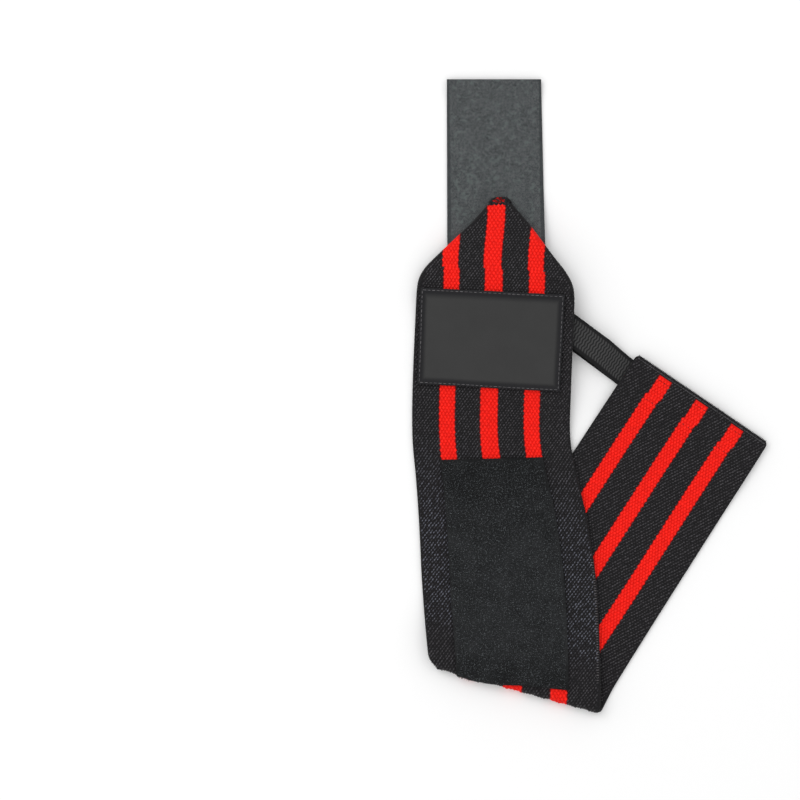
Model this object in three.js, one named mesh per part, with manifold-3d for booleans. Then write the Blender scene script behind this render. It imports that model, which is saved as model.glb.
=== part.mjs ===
// A lifting wrist wrap lying on a table. Its elastic band runs down from a point, folds once on a
// slant and runs back up beneath itself to a hem. A hook tab is sewn under the point, a label and a
// loop patch on top, and an elastic thumb loop across the underside of the hem.
// Millimetres, +Z up, +Y towards the point. The origin is the middle of the footprint, on the table.
//
// A place on the band is given by "along", measured from the tip, and "across", to the right of the
// middle line. "Height" is measured off the middle of the band's thickness, upwards on the upper leg.

import * as THREE from 'three';
import { mergeVertices } from 'three/addons/utils/BufferGeometryUtils.js';
import Module from 'manifold-3d';

// Elastic band
const bandWidth = 80;
const bandThickness = 2;
const upperLegLength = 251;
const lowerLegLength = 177;
const foldRadius = 2.6;
const foldSlant = 15.5;
const edgeBulge = 0.35;
const hemRounding = 2.4;

// Pointed end, with both corners turned under
const pointLength = 47;
const tipWidth = 11;
const tipRise = 3.4;
const tipEndShare = 0.28;
const shoulderRounding = 6;
const shoulderLead = 5;
const cornerTurn = 2;
const leastFlap = 0.5;

// Hook tab
const tabWidth = 50;
const tabEndWidth = 48;
const tabLength = 98;
const tabOverlap = 38;
const tabThickness = 1.2;
const tabShift = -1.9;
const tabEndShift = -1.3;
const tabCurl = 1.4;
const tabCurlRun = 14;

// Loop patch, down to the fold
const patchMargin = 13.6;
const patchShift = -0.9;
const patchLength = 116;
const patchThickness = 1.4;
const patchStop = 0.6;
const patchEndSlant = 6.2;

// Label
const labelMargin = 3.6;
const labelShift = -1.5;
const labelLength = 49;
const labelDrop = 1;
const labelThickness = 1.1;

// Thumb loop, one tape laid across the hem, out into a loop and back between itself and the band
const tapeWidth = 14.8;
const tapeThickness = 1.1;
const tapeInset = 3.1;
const loopReach = 66;
const loopGap = 5.2;
const loopRise = 18;
const loopDrift = 2.8;
const layerStep = 0.9;
const innerLayerShare = 0.6;

// How the upper leg comes down from what it lies on
const clearance = 0.35;
const foldRun = 36;
const legRun = 13;
const loopRun = 48;
const hemRun = 26;
const stackRun = 26;
const layerMargin = 1;

// Sizes and counts of the facets
const facet = 5;
const straightFacet = 8;
const flatFacet = 12;
const foldFacets = 12;
const patchFoldFacets = 8;
const roundingFacets = 3;
const bendFacets = 10;
const riseFacets = 8;
const rowTurnRun = 80;
const probe = 0.02;
const weldDistance = 1e-4;

// The middle line and the width of the flat band. "at" counts 0 to 1 from the tip to the fold and
// 1 to 2 from the fold to the hem. Sideways and width are shares of the band's width, and turn is
// the angle in degrees by which the line across the band is turned.
const bandSections = [
  { at: 0.00, sideways: 0.000, turn: 0.0, width: 0.995 },
  { at: 0.05, sideways: -0.004, turn: 0.0, width: 0.995 },
  { at: 0.12, sideways: -0.025, turn: -2.0, width: 0.995 },
  { at: 0.19, sideways: -0.031, turn: -3.0, width: 0.995 },
  { at: 0.39, sideways: -0.055, turn: -2.7, width: 0.998 },
  { at: 0.49, sideways: -0.056, turn: -1.0, width: 0.997 },
  { at: 0.57, sideways: -0.022, turn: 0.0, width: 1.020 },
  { at: 0.65, sideways: 0.016, turn: 0.0, width: 1.060 },
  { at: 0.78, sideways: 0.057, turn: 0.0, width: 1.100 },
  { at: 0.90, sideways: 0.078, turn: 0.0, width: 1.093 },
  { at: 1.00, sideways: 0.092, turn: 0.0, width: 1.065 },
  { at: 1.12, sideways: 0.100, turn: 0.6, width: 1.025 },
  { at: 2.00, sideways: 0.158, turn: 3.1, width: 1.000 },
];

// Lengths down the band that follow from the sizes above
const slant = THREE.MathUtils.degToRad(foldSlant);
const foldArc = Math.PI * foldRadius;
const foldStart = upperLegLength - (foldRadius + bandThickness / 2) / Math.cos(slant);
const foldMiddle = foldStart + foldArc / 2 / Math.cos(slant);
const bandEnd = foldMiddle + lowerLegLength;
const turnedStack = bandThickness + clearance;
const tabStack = tabThickness + clearance;

function smooth(value) {
  return THREE.MathUtils.smoothstep(value, 0, 1);
}

// The larger of two lengths, rounded off where they meet
function softMax(first, second) {
  return Math.pow(first ** 4 + second ** 4, 1 / 4);
}

// The smaller of two lengths, rounded off within the given length of where they meet
function softMin(first, second, rounding) {
  const overlap = Math.max(rounding - Math.abs(first - second), 0);
  return Math.min(first, second) - overlap ** 2 / (4 * rounding);
}

// One column of the section table, read between its rows along a smooth curve
function readSections(at, column) {
  const last = bandSections.length - 1;
  const slopeAt = (row) => {
    const before = bandSections[Math.max(row - 1, 0)];
    const after = bandSections[Math.min(row + 1, last)];
    return (after[column] - before[column]) / (after.at - before.at);
  };
  let row = 0;
  while (row < last - 1 && at > bandSections[row + 1].at) {
    row += 1;
  }
  const low = bandSections[row];
  const high = bandSections[row + 1];
  const span = high.at - low.at;
  const share = THREE.MathUtils.clamp((at - low.at) / span, 0, 1);
  const ease = smooth(share);
  const leave = slopeAt(row) * span * share * (1 - share) ** 2;
  const arrive = slopeAt(row + 1) * span * share ** 2 * (1 - share);
  return low[column] * (1 - ease) + high[column] * ease + leave - arrive;
}

function sectionAt(along) {
  const pastFold = (along - foldMiddle) / lowerLegLength;
  const at = along < foldMiddle ? along / foldMiddle : 1 + pastFold;
  return {
    sideways: readSections(at, 'sideways') * bandWidth,
    turn: THREE.MathUtils.degToRad(readSections(at, 'turn')),
    halfWidth: readSections(at, 'width') * bandWidth / 2,
  };
}

// Half the width at a place along the band, between the turned-in corners or the hem's round ones
function outlineHalfWidth(along) {
  const full = sectionAt(along).halfWidth;
  if (along < tipRise) {
    const narrowing = (1 - tipEndShare ** 2) * (1 - along / tipRise) ** 2;
    return tipWidth / 2 * Math.sqrt(1 - narrowing);
  }
  const fromHem = bandEnd - along;
  if (fromHem < hemRounding) {
    return full - hemRounding + Math.sqrt(hemRounding ** 2 - (hemRounding - fromHem) ** 2);
  }
  const flare = (bandWidth - tipWidth) / 2 / (pointLength - shoulderLead - tipRise);
  return softMin(tipWidth / 2 + flare * (along - tipRise), full, shoulderRounding);
}

// A place on the band before it is folded, seen from above
function flatPoint(along, across) {
  const section = sectionAt(along);
  return new THREE.Vector2(
    section.sideways + across * Math.cos(section.turn),
    across * Math.sin(section.turn) - along,
  );
}

const foldPoint = flatPoint(foldStart, 0);
const foldNormal = new THREE.Vector2(-Math.sin(slant), -Math.cos(slant));

function pastFoldLine(flat) {
  return flat.clone().sub(foldPoint).dot(foldNormal);
}

// How far the layers of tape lift the lower leg near its hem
function hemLift(along, across) {
  const fromHem = bandEnd - along;
  const underTape = smooth(1 - (fromHem - tapeInset - tapeWidth - layerMargin) / hemRun);
  const halfWidth = sectionAt(along).halfWidth;
  const innerEnd = halfWidth * (2 * innerLayerShare - 1);
  const overInner = smooth(1 - (across - innerEnd - layerMargin) / tapeWidth);
  return (tapeThickness + clearance) * underTape * (1 + overInner);
}

// A place on the band's middle surface beyond the fold line
function lowerPoint(along, across, flat, past) {
  const angle = Math.min(past / foldRadius, Math.PI);
  const reach = past < foldArc ? foldRadius * Math.sin(angle) : foldArc - past;
  const plan = flat.addScaledVector(foldNormal, reach - past);
  const roll = foldRadius * (1 + Math.cos(angle));
  const lift = past < foldArc ? 0 : hemLift(along, across);
  return new THREE.Vector3(plan.x, plan.y, bandThickness / 2 + roll + lift);
}

function lowerPlan(along, across) {
  const flat = flatPoint(along, across);
  const place = lowerPoint(along, across, flat, pastFoldLine(flat));
  return new THREE.Vector2(place.x, place.y);
}

// Plan frame of the hem: its corners, the way out along it to the left, and the way inwards
const hemLeft = lowerPlan(bandEnd, -sectionAt(bandEnd).halfWidth);
const hemRight = lowerPlan(bandEnd, sectionAt(bandEnd).halfWidth);
const hemLength = hemLeft.distanceTo(hemRight);
const hemOut = hemLeft.clone().sub(hemRight).normalize();
const hemIn = new THREE.Vector2(-hemOut.y, hemOut.x);
const bendRadius = (loopGap + tapeThickness) / 2;
const loopHeight = loopGap + 2 * tapeThickness;

// A place on the tape in plan, from its distance out along the hem and its place across the tape
function tapePlan(out, across) {
  const drift = loopDrift * Math.max(out - hemLength, 0) / loopReach;
  const inwards = tapeInset + tapeWidth / 2 + across - drift;
  return hemRight.clone().addScaledVector(hemOut, out).addScaledVector(hemIn, inwards);
}

const loopRoot = tapePlan(hemLength, 0);
const loopEnd = tapePlan(hemLength + loopReach, 0);
const legEdgeFoot = lowerPlan(foldMiddle + lowerLegLength / 2, -outlineHalfWidth(foldMiddle));
const legEdgeWay = hemLeft.clone().sub(legEdgeFoot).normalize();

// Height of the top of what lies on the table under the upper leg
function liftOfUpperLeg(plan) {
  const fromEdge = plan.clone().sub(legEdgeFoot);
  const insideEdge = fromEdge.x * legEdgeWay.y - fromEdge.y * legEdgeWay.x;
  const overLeg = (bandThickness + clearance) * smooth(1 + insideEdge / legRun);
  const loopWay = loopEnd.clone().sub(loopRoot);
  const reach = plan.clone().sub(loopRoot).dot(loopWay) / loopWay.lengthSq();
  const nearest = loopRoot.clone().addScaledVector(loopWay, THREE.MathUtils.clamp(reach, 0, 1));
  const fromTape = Math.max(plan.distanceTo(nearest) - tapeWidth / 2 - layerStep, 0);
  const overLoop = (loopHeight + clearance) * smooth(1 - fromTape / loopRun);
  const nearFold = smooth(1 + pastFoldLine(plan) / foldRun);
  return THREE.MathUtils.lerp(softMax(overLeg, overLoop), 2 * foldRadius, nearFold);
}

// How far the turned corners and the tab hold the point above what it lies on
function stackUnderPoint(along) {
  const full = turnedStack + tabStack;
  return full * smooth(1 - (along - tabOverlap) / (stackRun + pointLength - tabOverlap));
}

function bandPoint(along, across) {
  const flat = flatPoint(along, across);
  const past = pastFoldLine(flat);
  if (past > 0) {
    return lowerPoint(along, across, flat, past);
  }
  const lift = liftOfUpperLeg(flat) + stackUnderPoint(along);
  return new THREE.Vector3(flat.x, flat.y, bandThickness / 2 + lift);
}

// Moves off a surface by a height, square to it. The surface is a function of two lengths.
function raised(surface, first, second, height) {
  const firstWay = surface(first + probe, second).sub(surface(first - probe, second));
  const secondWay = surface(first, second + probe).sub(surface(first, second - probe));
  const normal = firstWay.cross(secondWay).normalize();
  return surface(first, second).addScaledVector(normal, height);
}

// A closed slab of cloth. Its box has one row for each station, and "place" turns a station, a share
// across from -0.5 to 0.5 and a share of the thickness from -0.5 to 0.5 into a point.
function slab(stations, columns, place) {
  const rows = stations.length - 1;
  const box = new THREE.BoxGeometry(1, 1, 1, columns, rows, 2);
  const spots = box.attributes.position;
  for (let spot = 0; spot < spots.count; spot += 1) {
    const row = Math.round((0.5 - spots.getY(spot)) * rows);
    const point = place(stations[row], spots.getX(spot), spots.getZ(spot));
    spots.setXYZ(spot, point.x, point.y, point.z);
  }
  return box;
}

// How far the side of a slab stands out at half its thickness, as shares across and through it
function sideBulge(share, level) {
  return Math.abs(share) === 0.5 && level === 0 ? Math.sign(share) * edgeBulge : 0;
}

// Even steps of about the given size, up or down from one length to just short of another
function spread(from, to, size) {
  const count = Math.max(Math.ceil(Math.abs(to - from) / size), 1);
  return Array.from({ length: count }, (_, index) => from + (to - from) * index / count);
}

// Rows across the band: closer at the tip and round the fold
function bandStations() {
  const foldEdge = foldArc / 2 / Math.cos(slant);
  return [
    ...spread(0, tipRise, tipRise / roundingFacets),
    ...spread(tipRise, foldMiddle - foldEdge, facet),
    ...spread(foldMiddle - foldEdge, foldMiddle + foldEdge, 2 * foldEdge / foldFacets),
    ...spread(foldMiddle + foldEdge, bandEnd - tapeWidth, straightFacet),
    ...spread(bandEnd - tapeWidth, bandEnd - hemRounding, facet),
    ...spread(bandEnd - hemRounding, bandEnd, hemRounding / roundingFacets),
    bandEnd,
  ];
}

// Rows turn to run along the fold as they come near it
function slantedRow(station, across) {
  const share = smooth(1 - Math.abs(station - foldMiddle) / rowTurnRun);
  return station + across * Math.tan(slant) * share;
}

function elasticBand() {
  return slab(bandStations(), Math.round(bandWidth / facet), (station, share, level) => {
    const halfWidth = outlineHalfWidth(station);
    const across = 2 * share * halfWidth;
    const along = slantedRow(station, across);
    const outwards = across + sideBulge(share, level);
    return raised(bandPoint, along, outwards, level * bandThickness);
  });
}

// A corner of the band's end turned under the point: a flap, a gap above it and the turn at its edge.
// The side is -1 for the left corner and 1 for the right one.
function turnedCorner(side) {
  const start = tipRise + cornerTurn;
  const stop = pointLength - cornerTurn;
  const stations = [...spread(start, stop, facet), stop];
  const bottom = -bandThickness / 2 - turnedStack;
  const columns = Math.round(bandWidth / 2 / facet);
  const shares = Array.from({ length: columns }, (_, index) => (index + 1) / columns);
  const corner = (inset, height) => new THREE.Vector2(inset, height);
  // Insets up to 1 cross the turn itself, and those from 1 to 2 cross the flap beyond it
  const shape = new THREE.Shape([
    corner(0, -bandThickness / 4),
    corner(0, bottom + edgeBulge),
    corner(edgeBulge / cornerTurn, bottom),
    ...shares.map((share) => corner(1 + share, bottom)),
    ...shares.reverse().map((share) => corner(1 + share, bottom + bandThickness)),
    corner(1, bottom + bandThickness),
    corner(1, -bandThickness / 4),
  ]);
  const steps = stations.length - 1;
  const flap = new THREE.ExtrudeGeometry(shape, { depth: steps, steps, bevelEnabled: false });
  const spots = flap.attributes.position;
  for (let spot = 0; spot < spots.count; spot += 1) {
    const along = stations[Math.round(spots.getZ(spot))];
    const outer = outlineHalfWidth(along) - edgeBulge / 2;
    const closing = Math.max((along - tabOverlap) / (pointLength - tabOverlap), 0);
    const inner = closing * outer + clearance;
    const flapWidth = Math.max(outer - cornerTurn - inner, leastFlap);
    const inset = spots.getX(spot);
    const inwards = Math.min(inset, 1) * cornerTurn + Math.max(inset - 1, 0) * flapWidth;
    const point = raised(bandPoint, along, side * (outer - inwards), spots.getY(spot));
    spots.setXYZ(spot, point.x, point.y, point.z);
  }
  if (side > 0) {
    flipFaces(flap);
  }
  return flap;
}

function flipFaces(geometry) {
  const spots = geometry.attributes.position;
  const second = new THREE.Vector3();
  const third = new THREE.Vector3();
  for (let corner = 0; corner < spots.count; corner += 3) {
    second.fromBufferAttribute(spots, corner + 1);
    third.fromBufferAttribute(spots, corner + 2);
    spots.setXYZ(corner + 1, third.x, third.y, third.z);
    spots.setXYZ(corner + 2, second.x, second.y, second.z);
  }
}

// The tab lies along the table, follows the upper leg where it is sewn under it, and its free end
// curls up a little
function tabPoint(along, across) {
  const fromEnd = along + tabLength - tabOverlap;
  const shift = tabShift + tabEndShift * (1 - fromEnd / tabLength);
  const plan = new THREE.Vector2(flatPoint(0, 0).x + shift + across, -along);
  const curl = tabCurl * (1 - smooth(fromEnd / tabCurlRun));
  return new THREE.Vector3(plan.x, plan.y, tabThickness / 2 + liftOfUpperLeg(plan) + curl);
}

function hookTab() {
  const start = tabOverlap - tabLength;
  const stations = [
    ...spread(start, start + tabCurlRun, facet),
    ...spread(start + tabCurlRun, -facet, flatFacet),
    ...spread(-facet, tabOverlap, facet),
    tabOverlap,
  ];
  return slab(stations, Math.round(tabWidth / facet), (station, share, level) => {
    const width = THREE.MathUtils.mapLinear(station, start, tabOverlap, tabEndWidth, tabWidth);
    return raised(tabPoint, station, share * width, level * tabThickness);
  });
}

function loopPatch() {
  const end = foldStart + patchStop;
  const denseStart = end - foldArc - facet;
  const stations = [
    ...spread(end - patchLength, denseStart, facet),
    ...spread(denseStart, end, foldArc / patchFoldFacets),
    end,
  ];
  const height = bandThickness / 2 + clearance + patchThickness / 2;
  const columns = Math.round((bandWidth - 2 * patchMargin) / facet);
  return slab(stations, columns, (station, share, level) => {
    const widening = sectionAt(station).halfWidth * 2 / bandWidth;
    const across = (patchShift + share * (bandWidth - 2 * patchMargin)) * widening;
    const nearEnd = smooth(1 + (station - end) / patchLength);
    const along = station + across * Math.tan(THREE.MathUtils.degToRad(patchEndSlant)) * nearEnd;
    return raised(bandPoint, along, across, height + level * patchThickness);
  });
}

function labelPatch() {
  const start = pointLength + labelDrop;
  const stations = [...spread(start, start + labelLength, facet), start + labelLength];
  const height = bandThickness / 2 + clearance + labelThickness / 2;
  const width = bandWidth - 2 * labelMargin;
  return slab(stations, Math.round(width / facet), (station, share, level) => (
    raised(bandPoint, station, labelShift + share * width, height + level * labelThickness)
  ));
}

// The tape's path as seen along the hem's face: distance out from the right edge, height, and the
// step sideways between its layers
function tapePath() {
  const low = tapeThickness / 2;
  const high = low + 2 * bendRadius;
  const between = low + tapeThickness + clearance;
  const bend = hemLength + loopReach - bendRadius - tapeThickness / 2;
  const leaving = hemLength + tapeThickness;
  const innerEnd = hemLength * (1 - innerLayerShare);
  const path = spread(tapeThickness / 2, bend, flatFacet).map((out) => ({ out, height: low }));
  for (const angle of [...spread(0, Math.PI, Math.PI / bendFacets), Math.PI]) {
    const out = bend + bendRadius * Math.sin(angle);
    path.push({ out, height: low + bendRadius * (1 - Math.cos(angle)) });
  }
  for (const out of spread(bend - facet, leaving + loopRise, flatFacet)) {
    path.push({ out, height: high });
  }
  for (const out of spread(leaving + loopRise, leaving, loopRise / riseFacets)) {
    const rise = smooth((out - leaving) / loopRise);
    path.push({ out, height: THREE.MathUtils.lerp(between, high, rise) });
  }
  for (const out of [...spread(leaving, innerEnd, flatFacet), innerEnd]) {
    path.push({ out, height: between });
  }
  return path;
}

function thumbLoop() {
  const path = tapePath();
  const stations = path.map((_, index) => index);
  return slab(stations, 2, (station, share, level) => {
    const spot = path[station];
    const before = path[Math.max(station - 1, 0)];
    const after = path[Math.min(station + 1, path.length - 1)];
    const way = new THREE.Vector2(after.out - before.out, after.height - before.height).normalize();
    const inside = level * tapeThickness;
    const out = spot.out - way.y * inside;
    const upper = THREE.MathUtils.clamp((spot.height - tapeThickness) / loopGap, 0, 1);
    const step = layerStep * (upper - 0.5);
    const plan = tapePlan(out, share * tapeWidth - step);
    return new THREE.Vector3(plan.x, plan.y, spot.height + way.x * inside);
  });
}

const wasm = await Module();
wasm.setup();

function toSolid(geometry) {
  const bare = new THREE.BufferGeometry();
  bare.setAttribute('position', geometry.attributes.position.clone());
  if (geometry.index) {
    bare.setIndex(geometry.index.clone());
  }
  const merged = mergeVertices(bare, weldDistance);
  return new wasm.Manifold(new wasm.Mesh({
    numProp: 3,
    vertProperties: new Float32Array(merged.attributes.position.array),
    triVerts: new Uint32Array(merged.index.array),
  }));
}

function toGeometry(solid) {
  const mesh = solid.getMesh();
  const geometry = new THREE.BufferGeometry();
  geometry.setAttribute('position', new THREE.BufferAttribute(mesh.vertProperties, 3));
  geometry.setIndex(new THREE.BufferAttribute(mesh.triVerts, 1));
  return geometry;
}

function bandWithCorners() {
  return toGeometry(
    toSolid(elasticBand()).add(toSolid(turnedCorner(-1))).add(toSolid(turnedCorner(1))),
  );
}

function cloth(name, geometry, color, roughness) {
  geometry.computeVertexNormals();
  const material = new THREE.MeshStandardMaterial({ color, roughness, metalness: 0 });
  const mesh = new THREE.Mesh(geometry, material);
  mesh.name = name;
  return mesh;
}

const wrap = new THREE.Group();
wrap.add(cloth('wrap_band', bandWithCorners(), 0x232325, 0.9));
wrap.add(cloth('hook_tab', hookTab(), 0x4b5052, 0.75));
wrap.add(cloth('loop_patch', loopPatch(), 0x262a29, 1));
wrap.add(cloth('label_patch', labelPatch(), 0x404040, 0.55));
wrap.add(cloth('thumb_loop', thumbLoop(), 0x34363a, 0.85));

const footprint = new THREE.Box3().setFromObject(wrap);
const middle = footprint.getCenter(new THREE.Vector3());
wrap.position.set(-middle.x, -middle.y, -footprint.min.z);

export default wrap;
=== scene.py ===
import math

import bpy
import numpy as np
from bpy.props import FloatProperty, FloatVectorProperty, IntProperty, PointerProperty
from bpy.types import Operator, Panel, PropertyGroup
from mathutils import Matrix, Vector


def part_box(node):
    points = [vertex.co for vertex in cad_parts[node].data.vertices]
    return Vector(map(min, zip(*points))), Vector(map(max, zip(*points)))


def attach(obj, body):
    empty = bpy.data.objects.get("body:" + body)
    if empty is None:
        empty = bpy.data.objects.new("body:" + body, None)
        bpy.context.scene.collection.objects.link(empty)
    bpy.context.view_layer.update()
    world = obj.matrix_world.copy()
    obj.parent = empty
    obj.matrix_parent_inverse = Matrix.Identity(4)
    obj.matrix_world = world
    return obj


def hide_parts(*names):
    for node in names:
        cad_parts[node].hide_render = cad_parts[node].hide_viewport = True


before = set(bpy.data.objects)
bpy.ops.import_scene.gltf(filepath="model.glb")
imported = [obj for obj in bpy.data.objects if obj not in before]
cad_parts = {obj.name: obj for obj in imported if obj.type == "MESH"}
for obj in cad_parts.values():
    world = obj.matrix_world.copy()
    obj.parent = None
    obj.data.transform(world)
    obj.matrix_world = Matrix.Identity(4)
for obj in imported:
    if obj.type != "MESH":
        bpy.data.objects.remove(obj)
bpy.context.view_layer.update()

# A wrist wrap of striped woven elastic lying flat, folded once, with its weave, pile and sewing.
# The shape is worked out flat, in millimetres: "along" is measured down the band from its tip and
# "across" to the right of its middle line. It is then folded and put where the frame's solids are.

bl_info = {
    "name": "Wrist Wrap",
    "version": (1, 0, 0),
    "blender": (4, 5, 0),
    "location": "3D View > Sidebar > Wrist Wrap",
    "description": "Makes the woven, sewn and fuzzy cloth of a folded wrist wrap",
    "category": "Object",
}

MM = 0.001
TAU = 2 * math.pi
RIGHT_ANGLE = math.pi / 2

# Elastic band
BAND_WIDTH = 80.0
BAND_THICKNESS = 2.0
UPPER_LEG = 251.0
LOWER_LEG = 177.0
FOLD_RADIUS = 2.6
FOLD_SLANT = math.radians(15.5)
EDGE_BULGE = 0.35
HEM_ROUNDING = 2.4
FOLD_CORNER_LEFT = 7.0
FOLD_CORNER_RIGHT = 2.5
FOLD_BUMP = 0.18
FOLD_BUMP_LENGTH = 9.0
SECOND_BUMP = 0.5
SECOND_BUMP_RATE = 2.3
SECOND_BUMP_SHIFT = 1.0
CLOTH_THICKNESS = 1.6
BAND_COLUMNS = 68
BAND_STEP = 2.0
FOLD_STEP = 0.5
END_STEP = 1.0
POINT_ROWS_RUN = 60.0
HEM_ROWS_RUN = 20.0

# Pointed end
POINT_LENGTH = 47.0
TIP_WIDTH = 11.0
TIP_RISE = 3.4
TIP_END_SHARE = 0.28
SHOULDER_ROUNDING = 6.0
SHOULDER_LEAD = 5.0
TIP_CAP = 4.6

# The corners of the band's end, which are turned under the point. CORE_SHARE and TURN_SHARE say
# how many of the sheet's columns lie before the turn and up to its end.
CORNER_START = TIP_RISE - 1.0
CORNER_RUN = 3.0
CORNER_GAP = 0.6
SHOULDER_START = 44.0
SHOULDER_RUN = 10.0
LEAST_CURL = 0.02
CORE_SHARE = 0.72
TURN_SHARE = 0.86

# Hook tab
TAB_WIDTH = 50.0
TAB_END_WIDTH = 48.0
TAB_LENGTH = 98.0
TAB_OVERLAP = 38.0
TAB_THICKNESS = 1.2
TAB_SHIFT = -1.9
TAB_END_SHIFT = -1.3
TAB_CURL = 1.4
TAB_CURL_RUN = 14.0
TAB_BACKING = 0.6
TAB_COLUMNS = 24
TAB_STEP = 2.0
TAB_WEAVE = (0.9, 0.8)
HOOK_END_BORDER = 2.0
HOOK_SIDE_BORDER = 3.0
HOOK_CLOSENESS = 0.8
HOOK_SHAPE = (0.8, 0.8, 1.0)
HOOK_SEED = 11

# Loop patch
PATCH_MARGIN = 13.6
PATCH_SHIFT = -0.9
PATCH_LENGTH = 116.0
PATCH_STOP = 0.6
PATCH_END_SLANT = math.radians(6.2)
PATCH_BACKING = 0.7
PATCH_TOP_DROP = 1.2
PATCH_TOP_SLANT = math.radians(-1.8)
PATCH_COLUMNS = 28
PATCH_FOLD_RUN = 16.0
PATCH_FOLD_STEP = 0.6
PILE_TOP_BORDER = 1.6
PILE_END_BORDER = 0.8
PILE_SIDE_BORDER = 1.2
PILE_SCATTER_ALONG = 0.45
PILE_SCATTER_ACROSS = 0.008
PILE_LEAN = 0.5
PILE_SHAPE = (0.5, 0.6, 0.85)
PILE_VARIATION = 0.3

# Label
LABEL_MARGIN = 3.6
LABEL_SHIFT = -1.5
LABEL_LENGTH = 49.0
LABEL_DROP = 1.0
LABEL_THICKNESS = 1.1
LABEL_COLUMNS = 120
LABEL_STEP = 0.6
LABEL_STITCH_INSET = 0.95
LABEL_STITCH_SHARE = 0.7
LABEL_SEED = 3
CHANNEL_HALF = 0.55
CHANNEL_DEPTH = 0.35
PILLOW_RUN = 4.0
PILLOW_HEIGHT = 0.05

# Thumb loop
TAPE_WIDTH = 14.8
TAPE_THICKNESS = 1.1
TAPE_CLOTH = 0.85
TAPE_INSET = 3.1
LOOP_REACH = 66.0
LOOP_GAP = 5.2
LOOP_RISE = 18.0
LOOP_DRIFT = 2.8
LAYER_STEP = 0.9
INNER_LAYER_SHARE = 0.6
TAPE_COLUMNS = 22
BEND_POINTS = 25
SHORT_POINTS = 30
LONG_POINTS = 60
ROWS_IN_RIB = 6
RIB_WAVE = 0.25
RIB_WAVE_LENGTH = 3.2
RIB_FADE = 0.8

# How the upper leg comes down from what it lies on
CLEARANCE = 0.35
FOLD_RUN = 36.0
LEG_RUN = 13.0
LOOP_RUN = 48.0
HEM_RUN = 26.0
STACK_RUN = 26.0
LAYER_MARGIN = 1.0
ROW_TURN_RUN = 80.0
PROBE = 0.02

# The middle line and width of the flat band, from the tip (0) to the fold (1) and the hem (2)
SECTIONS = {
    "at": [0, 0.05, 0.12, 0.19, 0.39, 0.49, 0.57, 0.65, 0.78, 0.90, 1.0, 1.12, 2.0],
    "sideways": [0, -0.004, -0.025, -0.031, -0.055, -0.056, -0.022, 0.016, 0.057, 0.078, 0.092, 0.1, 0.158],
    "turn": [0, 0, -2, -3, -2.7, -1, 0, 0, 0, 0, 0, 0.6, 3.1],
    "width": [0.995, 0.995, 0.995, 0.995, 0.998, 0.997, 1.02, 1.06, 1.1, 1.093, 1.065, 1.025, 1.0],
}

# Middle lines of the three woven stripes on the upper and the lower leg, and where they step aside
# at the two rows of sewing that run across the band
STRIPES_UPPER = (-22.5, -1.1, 20.8)
STRIPES_LOWER = (-22.1, 0.2, 21.9)
STRIPE_WIDTHS_UPPER = (8.3, 9.3, 8.3)
STRIPE_WIDTHS_LOWER = (7.8, 7.8, 7.8)
STRIPE_STEP = 0.8
TAB_SEAM = 37.0
HEM_SEAM = 13.5
HEM_BORDER = 2.2

# The twill's dashes and the stripes' stitches, how much of the grid's step each one takes, where
# label and patch hide them, and how those on the undersides are lifted
DASH_STAGGER = 0.42
DASH_LEAN = math.radians(58)
DASH_SEED = 31
DASH_SCATTER = 0.2
DASH_VARIATION = 0.2
DASH_SHAPE = (1.5, 0.52)
DASH_END = 0.8
STITCH_SHAPE = (0.98, 1.7)
STITCH_END = 0.5
STITCHES_IN_ROW = (4, 5)
STITCH_REACH = 3.55
STITCHED_HALF = 4.2
SHEET_MARGIN = 0.1
COVER_MARGIN = 1.0
PATCH_TOP_COVER = 5.0
PATCH_END_COVER = 4.0
SUNK = 0.05
LEAST_HEIGHT = 0.9
FLAT_ENOUGH = 0.975
FLAT_LIFT = 0.12
ROLLED_LIFT = 0.3

# Where the twill beside the loop patch gets a painted highlight, and where it gives way to the shade near
# the fold
HIGHLIGHT_RUN = (30.0, 90.0)
FOLD_SHADE_RUN = (122.0, 138.0)

# The soft edges of the colours: of the stripes and the dark lines along them, and of the borders of
# the tab, the tape and the label
SEAM_BLUR = 0.5
STRIPE_BLUR = (-0.25, 0.1)
LINE_BLUR = (0.2, 0.6)
HEM_BLUR = 0.3
CAP_BLUR = (-0.4, 0.2)
SELVAGE_BLUR = (TAB_END_WIDTH / 2 - 1.6, TAB_END_WIDTH / 2 - 0.9)
TAPE_BORDER_BLUR = (TAPE_WIDTH / 2 - 2.2, TAPE_WIDTH / 2 - 1.4)
RIM_FADE_INSIDE = 2.0
RIM_FADE_OUTSIDE = 0.6
TOP_RIM_FADE_INSIDE = 3.0
TOP_RIM_FADE_OUTSIDE = 0.5

# Sewing: length, width and height of the stitches, and the places of their rows
STITCH_COVER = 0.8
HEM_SIDE_BORDER = 1.0
CHAIN_START = POINT_LENGTH + 1.0
CHAIN_END_BORDER = 3.0
TAPE_SEAM_INSET = 1.6
CHAIN_PITCH = 1.3
CHAIN_INSET = 0.7
CHAIN_STITCH = (1.5, 0.3, 0.26)
PALE_START = 186.0
OVERLOCK_PITCH = 1.3
OVERLOCK_INSET = 1.5
OVERLOCK_STITCH = (1.25, 0.4, 0.34)
WRAP_PITCH = 0.7
WRAP_INSET = 0.35
WRAP_STITCH = (1.7, 0.5, CLOTH_THICKNESS + 0.1)
CAP_START = 0.8
CAP_ROW = 0.55
CAP_PITCH = 1.5
CAP_BORDER = 0.6
CAP_LEAN = math.radians(24)
CAP_STITCH = (2.1, 0.55, 0.5)
CAP_RED_SHIFT = 0.6
CAP_RED_HALF = 2.6
CAP_RED_END = 3.4
CAP_SEED = 5
CAP_FLECK_CYCLE = 3
LAST_PLACE_ROOM = 0.01

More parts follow.
